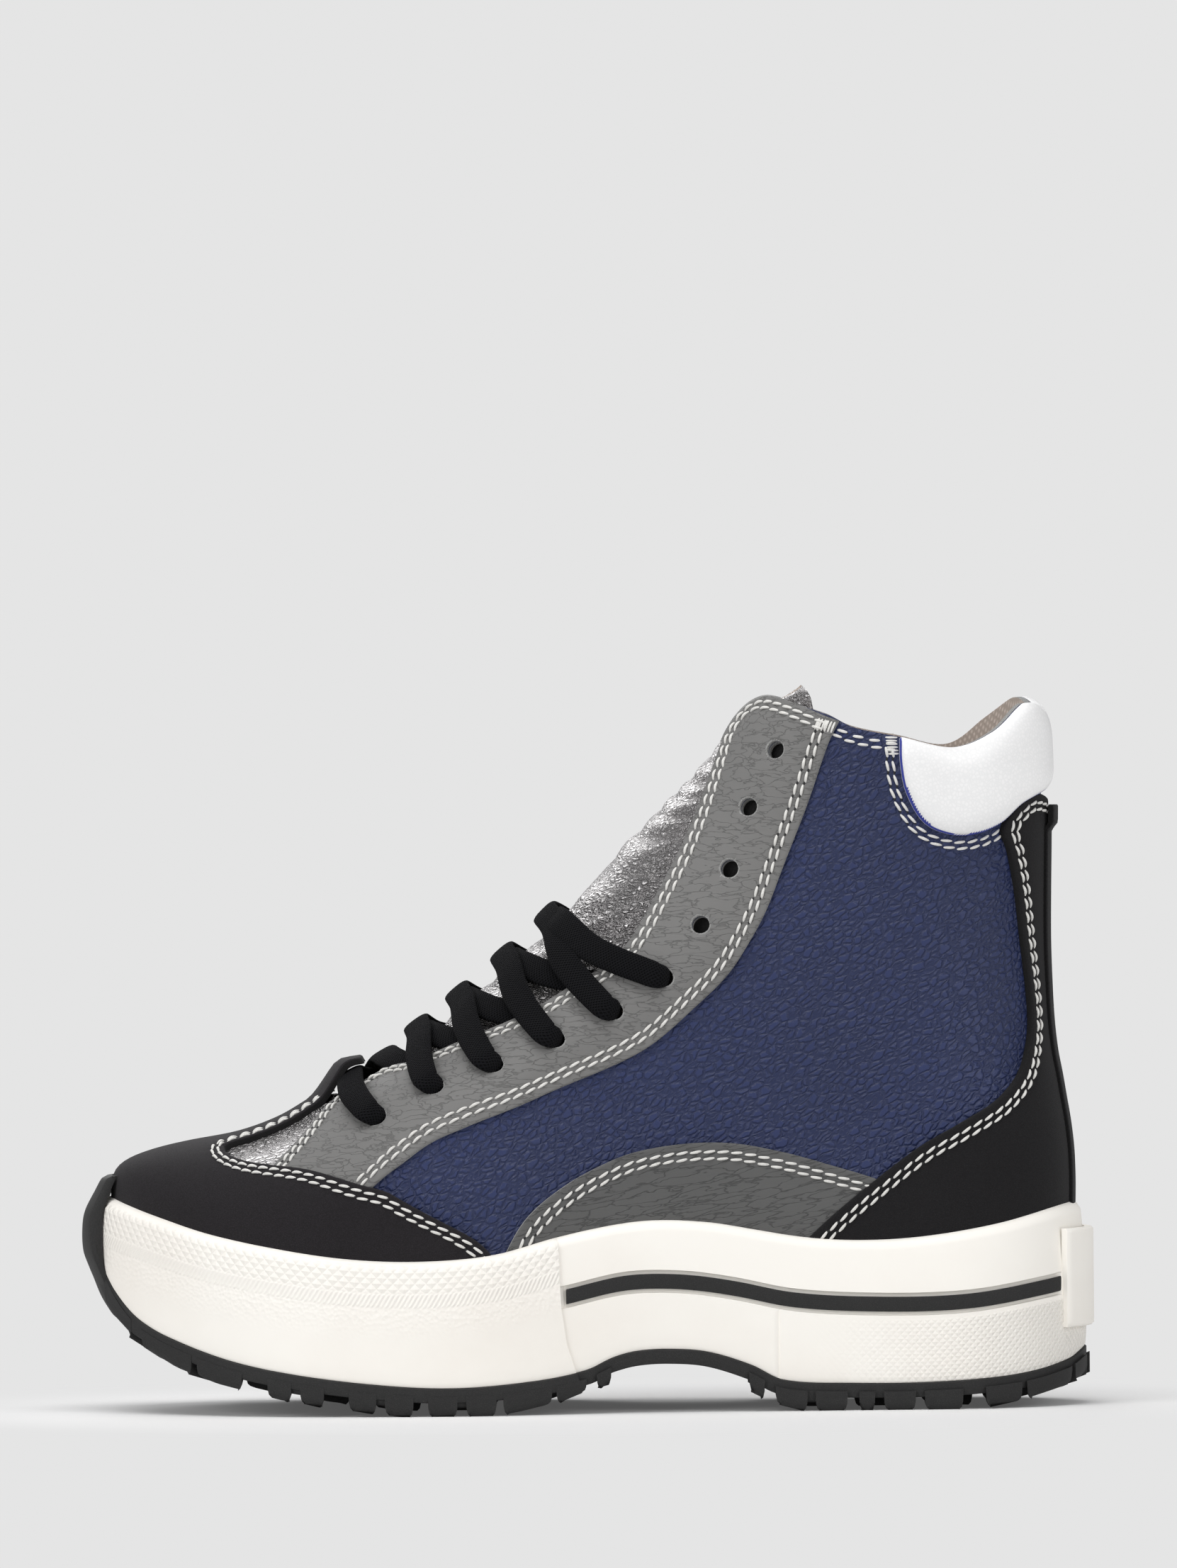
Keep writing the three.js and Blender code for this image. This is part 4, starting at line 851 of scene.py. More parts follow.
# Collar pad. Glossy white leather over foam round the top of the heel, its lower edge turned into a
# narrow blue binding.
COLLAR_EDGE = [
    (0.172, 0.908), (0.172, 0.862), (0.166, 0.81), (0.148, 0.757), (0.122, 0.733), (0.096, 0.729),
    (0.07, 0.742), (0.045, 0.775), (0.0, 0.8),
]
PAD_CORNER = (0.172, 0.905)
PAD_HEIGHT, PAD_SEAM, PAD_ROLL, BINDING_WIDTH = 3.7, 0.9, 5.0, 0.45
BRIM_SHARE, BRIM_ROLL = 0.3, 7.0  # the stuffing's share at the brim, and where it is full
white_leather = leather("white_collar_leather", (0.94, 0.935, 0.935), (0.88, 0.88, 0.88), size=1.1,
                        depth=0.03, strength=0.25, rough=(0.3, 0.42), fine=0.4, coat=0.25, seed=21.0)
blue_binding = leather("blue_binding", (0.06, 0.08, 0.44), (0.04, 0.055, 0.32), size=0.5, depth=0.05,
                       strength=0.4)
rim_line = part_of(top_line[1], marked([PAD_CORNER]), top_line[1][-1:])
near = through(marked(COLLAR_EDGE))
near[0] = rim_line[0]
far_rim = part_of(top_line[-1], marked([PAD_CORNER], -1), top_line[-1][-1:]) + (2 * half_turn, 0)
far = over_heel(near)
far[0] = far_rim[0]
loop = joined(near, far[::-1], far_rim, rim_line[::-1])
pad_edges = lasted(np.concatenate([near, far[::-1]]))
pad_rim = lasted(np.concatenate([rim_line, far_rim[::-1]]))


def stuffing(pattern, flat, gap):
    """How far the foam swells the pad between its seam and the brim."""
    seam = distance_to(flat, pad_edges, closed=False)
    brim = distance_to(flat, pad_rim, closed=False)
    puff = rounded(seam, PAD_ROLL) * (BRIM_SHARE + (1 - BRIM_SHARE) * rounded(brim, BRIM_ROLL))
    return (PAD_HEIGHT - PAD_SEAM) * puff


def bound_edge(pattern):
    """The binding along the pad's seam, and white leather elsewhere."""
    return np.where(distance_to(lasted(pattern), pad_edges, closed=False) < BINDING_WIDTH, 3, 0)


collar = leather_piece(
    "collar_pad_leather", loop, high=PAD_SEAM, edge=0.5, grid=1.3, relief=stuffing, front=bound_edge,
    rings=(BINDING_WIDTH, 0.9, 1.4, 2.0, 2.8, 3.8),
    materials=(white_leather, white_leather, white_leather, blue_binding),
)
pad_loop, pad_lines = loop, (near, far)
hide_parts("collar_pad")

# Stitching. Thick white waxed thread in double rows along every sewn edge, its stitches a little slanted
# and drawn into needle holes, marked by dark dimples of painted shade, with bar tacks where the rows end at
# the collar.
STITCH_PITCH, STITCH_LENGTH, THREAD, STITCH_SLANT = 3.7, 3.15, 0.84, 8.0
PLY_SCALE = 2600.0
thread, tree = new_material("white_waxed_thread")
place = add(tree, "ShaderNodeTexCoord").outputs["Object"]
ply = add(tree, "ShaderNodeTexNoise", {"Vector": place, "Scale": PLY_SCALE, "Detail": 2.0}).outputs["Fac"]
# The thread's colour is painted darker where its ply dips, as shade.
coated(tree, {
    "Base Color": tones(tree, ply, (0.6, 0.59, 0.56), (0.86, 0.85, 0.82)),
    "Normal": raised(tree, ply, 0.5, 0.1),
    "Roughness": 0.6,
})
needle_hole_shade = leather("needle_hole_shadow", (0.01, 0.01, 0.011), (0.006, 0.006, 0.007), size=0.4, depth=0.02,
                      strength=0.3)


def stitch_tree(name):
    """Lays one bent thread at every pitch of the rows, or, where a size for it is given, one dark dimple of
    painted shade for a needle hole.
    """
    tree = bpy.data.node_groups.new(name, "GeometryNodeTree")
    tree.interface.new_socket("Geometry", in_out="INPUT", socket_type="NodeSocketGeometry")
    for label in ("Pitch", "Length", "Thread", "Slant", "Start", "Hole"):
        tree.interface.new_socket(label, in_out="INPUT", socket_type="NodeSocketFloat")
    tree.interface.new_socket("Material", in_out="INPUT", socket_type="NodeSocketMaterial")
    tree.interface.new_socket("Geometry", in_out="OUTPUT", socket_type="NodeSocketGeometry")
    given = add(tree, "NodeGroupInput").outputs

    def times(socket, factor):
        return add(tree, "ShaderNodeMath", {0: socket, 1: factor}, operation="MULTIPLY").outputs["Value"]

    def point(**place):
        return add(tree, "ShaderNodeCombineXYZ", place).outputs["Vector"]

    # The rows, cut into pitches, and at each point a rotation along the row and away from the leather
    rows = add(tree, "GeometryNodeMeshToCurve", {"Mesh": given["Geometry"]})
    trimmed = add(
        tree, "GeometryNodeTrimCurve", {"Curve": rows.outputs["Curve"], 4: given["Start"], 5: 100.0},
        mode="LENGTH",
    )
    even = add(
        tree, "GeometryNodeResampleCurve", {"Curve": trimmed.outputs["Curve"], "Length": given["Pitch"]},
        mode="LENGTH",
    )
    facing = add(tree, "GeometryNodeInputNamedAttribute", {"Name": "facing"}, data_type="FLOAT_VECTOR")
    tangent = add(tree, "GeometryNodeInputTangent")
    lengthwise = add(
        tree, "FunctionNodeAlignRotationToVector", {"Vector": tangent.outputs["Tangent"]}, axis="X"
    )
    upright = add(
        tree, "FunctionNodeAlignRotationToVector",
        {"Rotation": lengthwise.outputs["Rotation"], "Vector": facing.outputs["Attribute"]},
        axis="Z", pivot_axis="X",
    )
    slanted_by = add(
        tree, "FunctionNodeRotateRotation",
        {"Rotation": upright.outputs["Rotation"], "Rotate By": point(Z=given["Slant"])},
        rotation_space="LOCAL",
    )

    # The thread: a low arch, thinner where it dips into the leather
    sunk = times(given["Thread"], -0.45)
    bow = add(tree, "GeometryNodeCurveQuadraticBezier", {
        "Resolution": 6,
        "Start": point(X=times(given["Length"], -0.5), Z=sunk),
        "Middle": point(Z=given["Thread"]),
        "End": point(X=times(given["Length"], 0.5), Z=sunk),
    })
    arch = times(add(tree, "GeometryNodeSplineParameter").outputs["Factor"], math.pi)
    sine = add(tree, "ShaderNodeMath", {0: arch}, operation="SINE")
    fat = add(tree, "ShaderNodeMapRange", {"Value": sine.outputs["Value"], "To Min": 0.62, "To Max": 1.0})
    tapered = add(
        tree, "GeometryNodeSetCurveRadius",
        {"Curve": bow.outputs["Curve"], "Radius": fat.outputs["Result"]},
    )
    section = add(
        tree, "GeometryNodeCurvePrimitiveCircle", {"Resolution": 7, "Radius": times(given["Thread"], 0.5)}
    )
    body = add(tree, "GeometryNodeCurveToMesh", {
        "Curve": tapered.outputs["Curve"], "Profile Curve": section.outputs["Curve"], "Fill Caps": True,
    })
    if "Scale" in body.inputs:
        tree.links.new(fat.outputs["Result"], body.inputs["Scale"])

    # The dimple of painted shade, and the choice between the two
    dimple = add(
        tree, "GeometryNodeMeshUVSphere", {"Segments": 8, "Rings": 5, "Radius": given["Hole"]}
    )
    squashed = add(
        tree, "GeometryNodeTransform", {"Geometry": dimple.outputs["Mesh"], "Scale": (1.35, 0.8, 0.35)}
    )
    is_hole = add(
        tree, "FunctionNodeCompare", {0: given["Hole"], 1: 0.0}, data_type="FLOAT", operation="GREATER_THAN"
    )
    which = add(tree, "GeometryNodeSwitch", {
        "Switch": is_hole.outputs["Result"],
        "False": body.outputs["Mesh"],
        "True": squashed.outputs["Geometry"],
    }, input_type="GEOMETRY")
    copies = add(tree, "GeometryNodeInstanceOnPoints", {
        "Points": even.outputs["Curve"],
        "Instance": which.outputs["Output"],
        "Rotation": slanted_by.outputs["Rotation"],
    })
    real = add(tree, "GeometryNodeRealizeInstances", {"Geometry": copies.outputs["Instances"]})
    shade = add(tree, "GeometryNodeSetShadeSmooth", {"Geometry": real.outputs["Geometry"]})
    finish = add(
        tree, "GeometryNodeSetMaterial",
        {"Geometry": shade.outputs["Geometry"], "Material": given["Material"]},
    )
    add(tree, "NodeGroupOutput", {"Geometry": finish.outputs["Geometry"]})
    return tree


sewing = stitch_tree("sewing")


def sewn(name, rows, heights, slot, **sizes):
    """One mesh of stitches along rows of the pattern, each at its height over the last."""
    points, edges, facings = [], [], []
    for row, height in zip(rows, heights):
        start = len(points)
        points += (lasted(row, np.full(len(row), height)) * 0.001).tolist()
        facings += pulled(row).tolist()
        edges += [(start + i, start + i + 1) for i in range(len(row) - 1)]
    mesh = bpy.data.meshes.new(name)
    mesh.from_pydata(points, edges, [])
    held = mesh.attributes.new("facing", "FLOAT_VECTOR", "POINT")
    held.data.foreach_set("vector", np.array(facings).ravel())
    row_object = bpy.data.objects.new(name + "_rows", mesh)
    scene.collection.objects.link(row_object)
    modifier = row_object.modifiers.new("sewing", "NODES")
    modifier.node_group = sewing
    for item in sewing.interface.items_tree:
        if item.in_out == "INPUT" and item.name in sizes:
            modifier[item.identifier] = sizes[item.name]
    bpy.context.view_layer.update()
    done = row_object.evaluated_get(bpy.context.evaluated_depsgraph_get())
    made = bpy.data.objects.new(name, bpy.data.meshes.new_from_object(done))
    made.data.name = name
    scene.collection.objects.link(made)
    row_object.modifiers.clear()
    bpy.data.objects.remove(row_object)
    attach(made, "root")
    return made


# Rows on the navy leather beside the pad and along its top edge
COLLAR_ROWS, TOP_ROWS = (1.8, 3.5), (2.2, 4.0)
ROW_TOP, BACK_CLEAR = 0.885, 34.0  # the collar rows' highest level, and their distance from the back seam
TOP_ROW_ENDS = [(0.245, 0.949)], [(0.18, 0.91)]
collar_rows = []
for edge in pad_lines:
    for distance in COLLAR_ROWS:
        row = moved_in(edge, -distance, pad_loop)
        row = row[(row[:, 1] < ROW_TOP * PATTERN[1]) & (np.abs(row[:, 0] - half_turn) > BACK_CLEAR)]
        collar_rows.append(evenly(row))
for side in (1, -1):
    top_row = part_of(top_line[side], *(marked(end, side) for end in TOP_ROW_ENDS))
    for depth in TOP_ROWS:
        collar_rows.append(evenly(moved_in(top_row, depth, upper_outline)))
all_rows = seam_rows + collar_rows
row_heights = np.array(seam_heights + [0.0] * len(collar_rows))
THREAD_SUNK, HOLE_SUNK, ROW_START, HOLE_SIZE = 0.02, 0.05, 0.5, 0.42  # millimetres
common = {"Pitch": STITCH_PITCH * 0.001, "Length": STITCH_LENGTH * 0.001, "Thread": THREAD * 0.001}
sewn(
    "contrast_stitches", all_rows, row_heights - THREAD_SUNK, "midsole_foam", Material=thread,
    Slant=math.radians(STITCH_SLANT), Start=ROW_START * 0.001, Hole=0.0, **common,
)
TACKS = [(0.257, 0.934), (0.241, 0.927)], [(0.181, 0.906), (0.179, 0.878)]
TACK_PITCH, TACK_LENGTH, TACK_THREAD, TACK_SLANT = 0.88, 3.4, 0.66, 82.0
tacks = [evenly(marked(ends, side), LINE_STEP / 2) for side in (1, -1) for ends in TACKS]
sewn(
    "bar_tacks", tacks, [OVERLAY, 0.0] * 2, "midsole_foam", Material=thread,
    Slant=math.radians(TACK_SLANT), Start=0.0, Hole=0.0, Pitch=TACK_PITCH * 0.001,
    Length=TACK_LENGTH * 0.001, Thread=TACK_THREAD * 0.001,
)
# Dark dimples between the stitches: painted shade in the needle holes.
sewn(
    "needle_hole_shade_dimples", all_rows, row_heights - HOLE_SUNK, "black_nubuck", Material=needle_hole_shade, Slant=0.0,
    Start=(ROW_START + STITCH_PITCH / 2) * 0.001, Hole=HOLE_SIZE * 0.001, **common,
)

# Tongue. Silver crinkled leather lined with beige cloth, sewn to the vamp at its foot, lying under the
# eyestays and standing up a little between them. Its wings under the eyestays are near-black cloth, painted
# shade for the dark seen down the eyelets.
TONGUE = np.array([  # up, half its width as an angle round the section
    (0.385, 0.42), (0.43, 0.62), (0.5, 0.9), (0.55, 1.2), (0.6, 1.42), (0.69, 1.38), (0.8, 1.26),
    (0.92, 1.15), (1.012, 0.82),
])
TONGUE_THICKNESS, TONGUE_GAP, TONGUE_COLUMNS, TONGUE_ROWS = 3.0, 0.8, 91, 150
CORNER_ROUND, CORNER_FROM, DIP, DIP_FROM = 0.12, 0.94, 0.042, 0.8
SWELL_SHARE, SWELL_FROM, SWELL_FULL, SWELL_FADE, SWELL_END = 0.92, 0.42, 0.5, 0.74, 0.9
THROAT = np.array(TOP_EDGE[:14])


def sheet_faces(columns, rows):
    """A sheet of two layers, the second one's points after the first's: upper, lower and brim faces."""
    upper = [
        (j * columns + i, j * columns + i + 1, (j + 1) * columns + i + 1, (j + 1) * columns + i)
        for j in range(rows - 1) for i in range(columns - 1)
    ]
    n, last = columns * rows, (rows - 1) * columns
    brim = [(i, i + 1) for i in range(columns - 1)]
    brim += [(j * columns + columns - 1, (j + 1) * columns + columns - 1) for j in range(rows - 1)]
    brim += [(last + i + 1, last + i) for i in range(columns - 1)]
    brim += [((j + 1) * columns, j * columns) for j in range(rows - 1)]
    lower = [tuple(v + n for v in f[::-1]) for f in upper]
    return upper, lower, [(b, a, a + n, b + n) for a, b in brim]


across, rise = np.meshgrid(np.linspace(-1, 1, TONGUE_COLUMNS), np.linspace(0, 1, TONGUE_ROWS))
level = TONGUE[0, 0] + (TONGUE[-1, 0] - TONGUE[0, 0]) * rise
corner = 1 - CORNER_ROUND * np.clip((rise - CORNER_FROM) / (1 - CORNER_FROM), 0, 1) ** 3
tongue_angle = across * smooth(TONGUE, 1, level) * corner
top_dip = DIP * np.clip((rise - DIP_FROM) / (1 - DIP_FROM), 0, 1) * (1 - across**2) ** 0.7
open_level = np.minimum(level, SWELL_END)
half = SWELL_SHARE * angle_at(np.interp(open_level, THROAT[:, 1], THROAT[:, 0]), open_level)
swell = (WALL + TONGUE_GAP) * np.maximum(0, 1 - (tongue_angle / half) ** 2)
swell = swell * ease_between(level, SWELL_FROM, SWELL_FULL) * (1 - ease_between(level, SWELL_FADE, SWELL_END))
# Creases across the tongue, deepest down its middle, and slower waves over all of it
CREASE_DEPTH, WAVE_DEPTH, CREASE_REACH = 0.35, 0.25, 0.7
crease = np.sin(level * 150 + 2.2 * np.sin(tongue_angle * 5) + 3 * np.sin(level * 23))
crease = CREASE_DEPTH * crease * np.exp(-((tongue_angle / CREASE_REACH) ** 2))
crease = crease + WAVE_DEPTH * np.sin(level * 71 - 4 * tongue_angle) * np.cos(tongue_angle * 6 + level * 9)
edge_gap = np.minimum(np.minimum(1 - np.abs(across), rise * 3), (1 - rise) * 5)
thick = TONGUE_THICKNESS / 2 * rounded(edge_gap, 0.08)
middle = swell - WALL - TONGUE_GAP - TONGUE_THICKNESS / 2
top_face = on_last(tongue_angle, level - top_dip, middle + thick + crease * rounded(edge_gap, 0.2))
under_face = on_last(tongue_angle, level - top_dip, middle - thick)
faces, under_faces, brim_faces = sheet_faces(TONGUE_COLUMNS, TONGUE_ROWS)
# The wings' near-black cloth is painted shade, all that the open eyelets show.
eyelet_shade_cloth = cloth("black_eyelet_shade_cloth", (0.004, 0.004, 0.004), (0.002, 0.002, 0.002), 0.9, 0.1)
hidden = (np.abs(tongue_angle) > half * 1.1 + 0.05) & (level < 0.95)
kinds = np.where(hidden.ravel()[[f[0] for f in faces]], 2, 0)
tongue = mesh_object(
    "tongue_leather", np.concatenate([top_face.reshape(-1, 3), under_face.reshape(-1, 3)]),
    faces + under_faces + brim_faces, (silver, lining, eyelet_shade_cloth),
    np.concatenate([kinds, np.ones(len(under_faces)), np.zeros(len(brim_faces))]),
)
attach(tongue, "root")
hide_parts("tongue")

# Insole. A removable foam footbed covered in the lining's beige cloth, lying loose inside the upper and
# dished a little under the foot.
INSOLE_THICKNESS, INSOLE_LIFT, INSOLE_DISH, INSOLE_CLEAR = 4.0, 0.5, 0.8, 0.3
STATIONS, STRIPS = 110, 25
stations = np.linspace(0.02, math.pi - 0.02, STATIONS)


def footbed_sheet(height, dish):
    """Points from one side of the footbed to the other, from the toe to the heel."""
    out = -WALL - INSOLE_CLEAR
    near, far = (on_last(s * stations, height / UPPER_HEIGHT, out) for s in (1, -1))
    share = np.linspace(0, 1, STRIPS)[:, None, None]
    sheet = near + (far - near) * share
    sheet[..., 2] -= dish * (1 - (2 * share[..., 0] - 1) ** 2)
    return sheet.reshape(-1, 3)


faces = sum(sheet_faces(STATIONS, STRIPS), [])
insole = mesh_object(
    "insole_footbed",
    np.concatenate([footbed_sheet(INSOLE_THICKNESS, INSOLE_DISH), footbed_sheet(INSOLE_LIFT, 0.0)]),
    [f[::-1] for f in faces], (lining,),
)
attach(insole, "root")
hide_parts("insole")

# Laces. One flat woven cotton lace, matt black: it crosses on the ridge of the tongue at five pairs of
# eyelets, passes under the opposite eyestay, and its ends stop inside at the sixth pair.
LACE_WIDTH, LACE_THICKNESS, LACE_NECK = 8.0, 2.3, 5.0
LACE_STEP, LACE_AROUND = 0.8, 20  # millimetres between its rings of points, and points in each
LACE_BACK = 20.0  # how far the weave of the back lies from that of the front in the UV map
CROSSINGS = [  # shares of LAST_LENGTH: place on the ridge, and where the far throat edge is passed
    (0.712, 0.688), (0.673, 0.628), (0.629, 0.567), (0.581, 0.508), (0.534, 0.421),
]
KEEPER_CROSSING = (0.748, 0.725)  # the lateral strand of the first pair passes under the toe cap's keeper
cotton, tree = new_material("black_cotton_lace")
uv = add(tree, "ShaderNodeUVMap", uv_map="UVMap").outputs["UV"]
ribs = {"Scale": 0.42, "Distortion": 1.4, "Detail": 3.0, "Detail Scale": 1.5}
weave = woven(tree, uv, ((0, 0, 0.62), (0, 0, -0.62)), 1.0, "MAXIMUM", ribs)
# The lace's colour is painted darker where its weave dips, as shade.
coated(tree, {
    "Base Color": tones(tree, weave, (0.002, 0.002, 0.0025), (0.0085, 0.0085, 0.01)),
    "Normal": raised(tree, weave, 0.8, 0.8),
    "Roughness": 0.95,
    "Sheen Weight": 0.02,
    "Specular IOR Level": 0.05,
})


def tube_faces(rings, around):
    """Quads between closed rings of points, and a face over each end."""
    faces = []
    for first in range(0, (rings - 1) * around, around):
        for k in range(around):
            m = (k + 1) % around
            faces.append((first + k, first + m, first + around + m, first + around + k))
    last = (rings - 1) * around
    return faces + [tuple(range(around))[::-1], tuple(range(last, last + around))]


def shifted(faces, start):
    """Faces of a body whose points follow this many others."""
    return [tuple(v + start for v in face) for face in faces]


def ribbon(stops):
    """A soft flat lace through stops of place, facing, width and thickness: points, faces and UVs."""
    place = np.array([s[0] for s in stops])
    rest = np.array([np.r_[unit(np.array(s[1])), s[2], s[3]] for s in stops])
    t = np.r_[0, np.cumsum(np.sqrt(np.linalg.norm(np.diff(place, axis=0), axis=1)))]
    fine = np.linspace(0, t[-1], 400)
    line = np.stack([smooth(np.stack([t, place[:, k]], -1), 1, fine) for k in range(3)], -1)
    others = np.stack([np.interp(fine, t, rest[:, k]) for k in range(5)], -1)
    length = np.r_[0, np.cumsum(np.linalg.norm(np.diff(line, axis=0), axis=1))]
    at = np.linspace(0, length[-1], int(length[-1] / LACE_STEP) + 1)
    line = np.stack([np.interp(at, length, line[:, k]) for k in range(3)], -1)
    others = np.stack([np.interp(at, length, others[:, k]) for k in range(5)], -1)
    along = unit(np.gradient(line, axis=0))
    facing = others[:, :3] - (others[:, :3] * along).sum(1, keepdims=True) * along
    facing = unit(facing)
    side = np.cross(along, facing)
    turn = np.linspace(0, 2 * math.pi, LACE_AROUND, endpoint=False)
    c, s = np.cos(turn), np.sin(turn)
    flat = np.sign(c) * np.abs(c) ** 0.75
    high = np.sign(s) * np.abs(s) ** 0.8
    ring = flat[None, :, None] * side[:, None] * others[:, None, 3:4] / 2
    ring = ring + high[None, :, None] * facing[:, None] * others[:, None, 4:5] / 2
    points = (line[:, None] + ring).reshape(-1, 3)
    w = LACE_WIDTH * flat / 2 + np.where(s < 0, LACE_BACK, 0)
    uvs = []
    for i in range(len(at) - 1):
        for k in range(LACE_AROUND):
            m = (k + 1) % LACE_AROUND
            uvs += [(at[i], w[k]), (at[i], w[m]), (at[i + 1], w[m]), (at[i + 1], w[k])]
    uvs += [(0, 0)] * (2 * LACE_AROUND)
    return points, tube_faces(len(at), LACE_AROUND), uvs


KEEPER_TOP, LATERAL_TOP, MEDIAL_TOP = 1.7, 3.5, 1.3  # how high the strands cross over the ridge


def through_eyelet(hole, travel, facing, rise):
    """Stops of a lace that comes out of an eyelet, flattens and lies down along its way."""
    return [
        [hole - 5.0 * facing - 0.3 * travel, -travel, LACE_NECK * 0.8, 3.4],
        [hole - 1.5 * facing, -travel + 0.2 * facing, LACE_NECK * 0.92, 3.2],
        [hole + 0.3 * travel + 1.4 * facing, facing - 0.9 * travel, LACE_NECK + 1.2, 3.0],
        [hole + 3.2 * travel + rise * facing, facing, LACE_WIDTH - 0.6, 2.5],
    ]


def strand(n, side, open_end):
    """Stops of one strand, from its eyelet over the ridge to the far side."""
    crossing, tuck = CROSSINGS[n]
    top = LATERAL_TOP if side > 0 else MEDIAL_TOP
    if n == 0 and side > 0:
        (crossing, tuck), top = KEEPER_CROSSING, KEEPER_TOP
    (along, up), (far_along, far_up) = EYELETS[n], EYELETS[n + 1]
    ridge_up = np.interp(-crossing, -SECTIONS[:, 2], SECTIONS[:, 0])
    start = angle_at(along, up)
    over = OVERLAY + 0.5 + LACE_THICKNESS / 2
    if not open_end:
        far_along, far_up = tuck, np.interp(tuck, THROAT[::-1, 0], THROAT[::-1, 1])
    end = angle_at(far_along, far_up)

    def stop(angle, level, height, width=LACE_WIDTH, thick=LACE_THICKNESS):
        return [on_last(side * angle, level, height), last_normal(side * angle, level), width, thick]

    def rising(share):
        return up + (ridge_up - up) * share

    def falling(share):
        return ridge_up + (far_up - ridge_up) * share

    hole, ahead = on_last(side * start, up, 0.0), on_last(side * start * 0.9, rising(0.1), 0.0)
    stops = through_eyelet(hole, unit(ahead - hole), last_normal(side * start, up), over + 0.5)
    stops += [
        stop(start * 0.66, rising(0.5), over + 0.6),
        stop(start * 0.34, rising(0.88), over + 0.7),
        stop(0, ridge_up, top + 0.9),
    ]
    if open_end:
        hole, before = on_last(-side * end, far_up, 0.0), on_last(-side * end * 0.9, falling(0.9), 0.0)
        facing = last_normal(-side * end, far_up)
        return stops + [
            stop(-end * 0.36, falling(0.14), over + 1.3),
            stop(-end * 0.68, falling(0.56), over + 0.5),
        ] + through_eyelet(hole, unit(before - hole), facing, over + 0.4)[::-1]
    return stops + [
        stop(-end * 0.4, falling(0.16), 1.6),
        stop(-end * 0.75, falling(0.62), 0.3),
        stop(-end * 1.05, falling(1.05), -1.6, 7.4, 2.0),
        stop(-end * 1.3, falling(1.3), -3.2, 6.5, 1.8),
    ]


for n in range(len(CROSSINGS)):
    points, faces, uvs, start = [], [], [], 0
    for side in (-1, 1):
        p, f, u = ribbon(strand(n, side, n == len(CROSSINGS) - 1))
        faces += shifted(f, start)
        points.append(p)
        uvs += u
        start += len(p)
    lace = mesh_object("lace_pair_%d" % (n + 1), np.concatenate(points), faces, (cotton,), crease=70)
    lace.data.uv_layers.new(name="UVMap").data.foreach_set("uv", np.array(uvs, np.float32).ravel())
    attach(lace, "root")
    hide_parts("lace_crossing_%d" % (n + 1))

# Midsole. An off-white moulded rubber cupsole: a tall smooth wall with a soft rim, a proud textured
# bumper round the toe that ends at a slanted seam, and a long groove on each side.
RIM_HEIGHT, RIM_OUT, RIM_LEVEL, BUMPER_PROUD = 15.0, 5.6, 0.085, 0.8
STRIPE_WIDTH, GROOVE_MARGIN, GROOVE_DEPTH, STRIPE_DEPTH = 4.1, 1.1, 1.2, 0.8
LIP_HEIGHT, LIP_INNER, LIP_SHARE = 2.2, 1.3, 0.7
RIM = np.array([
    (-0.03, 0.93), (0.0, 0.84), (0.063, 0.66), (0.15, 0.54), (0.213, 0.54), (0.272, 0.62), (0.332, 0.8),
    (0.377, 0.93), (0.45, 1.04), (0.534, 0.95), (0.601, 0.83), (0.7, 0.88), (0.825, 0.96), (0.945, 0.86),
    (0.99, 0.81), (1.04, 0.8),
])
MIDSOLE_BOTTOM = np.array([
    (-0.03, 0.39), (-0.022, 0.374), (-0.002, 0.298), (0.05, 0.219), (0.14, 0.176), (0.23, 0.174),
    (0.3, 0.2), (0.334, 0.3), (0.379, 0.388), (0.42, 0.41), (0.453, 0.4), (0.476, 0.364), (0.505, 0.283),
    (0.559, 0.219), (0.648, 0.179), (0.738, 0.212), (0.827, 0.288), (0.887, 0.374), (0.946, 0.51),
    (0.972, 0.6), (0.987, 0.683), (1.002, 0.805), (1.013, 0.933), (1.03, 1.1),
])
SOLE_WALL = np.array([(0.0, 0.94), (0.12, 1.0), (0.55, 0.98), (0.93, 0.78), (1.0, 0.63)])  # height, out
STRIPE_TOP = np.array([
    (-0.03, -0.03), (0.02, -0.042), (0.109, -0.053), (0.214, -0.045), (0.288, -0.034), (0.348, -0.014),
    (0.415, 0.003), (0.467, 0.009), (0.532, 0.0), (1.04, -0.01),
])
SEAM = np.array([  # height, along
    (0.0, 0.499), (10.0, 0.515), (19.0, 0.527), (28.0, 0.532), (37.0, 0.5335), (60.0, 0.534),
])
SEAM_TOP, SEAM_MARGIN, SEAM_REACH = SEAM[-1, 1] * LAST_LENGTH, 0.12, 26.0
SMALL_SEAM, SMALL_SEAM_DEPTH, SMALL_SEAM_WIDTH = 0.3045, 0.45, 0.3
STRIPE_FROM, STRIPE_TO = 0.008, 0.529


def rim_height(x):
    """The height of the midsole's rim."""
    return footbed(x) + RIM_HEIGHT * smooth(RIM, 1, x / LAST_LENGTH)


def sole_bottom(x):
    """The height where the midsole ends and the outsole starts."""
    return PLATFORM * smooth(MIDSOLE_BOTTOM, 1, x / LAST_LENGTH)


def sole_plan(angle, out):
    """The sole's outline from above: the last's own outline at the rim, moved outwards."""
    angle = np.asarray(angle, float)
    here = last_point(angle, RIM_LEVEL)[..., :2]
    run = (last_point(angle + 0.02, RIM_LEVEL) - last_point(angle - 0.02, RIM_LEVEL))[..., :2]
    facing = unit(np.stack([run[..., 1], -run[..., 0]], -1))
    return here + facing * np.asarray(out, float)[..., None]


half_round = np.linspace(0, math.pi, 6000)
half_plan = sole_plan(half_round, RIM_OUT)
half_length = np.r_[0, np.cumsum(np.linalg.norm(np.diff(half_plan, axis=0), axis=1))]


def length_at(x):
    """The length round the outline, from the toe, to a place along the shoe."""
    return np.interp(x, half_plan[::-1, 0], half_length[::-1])


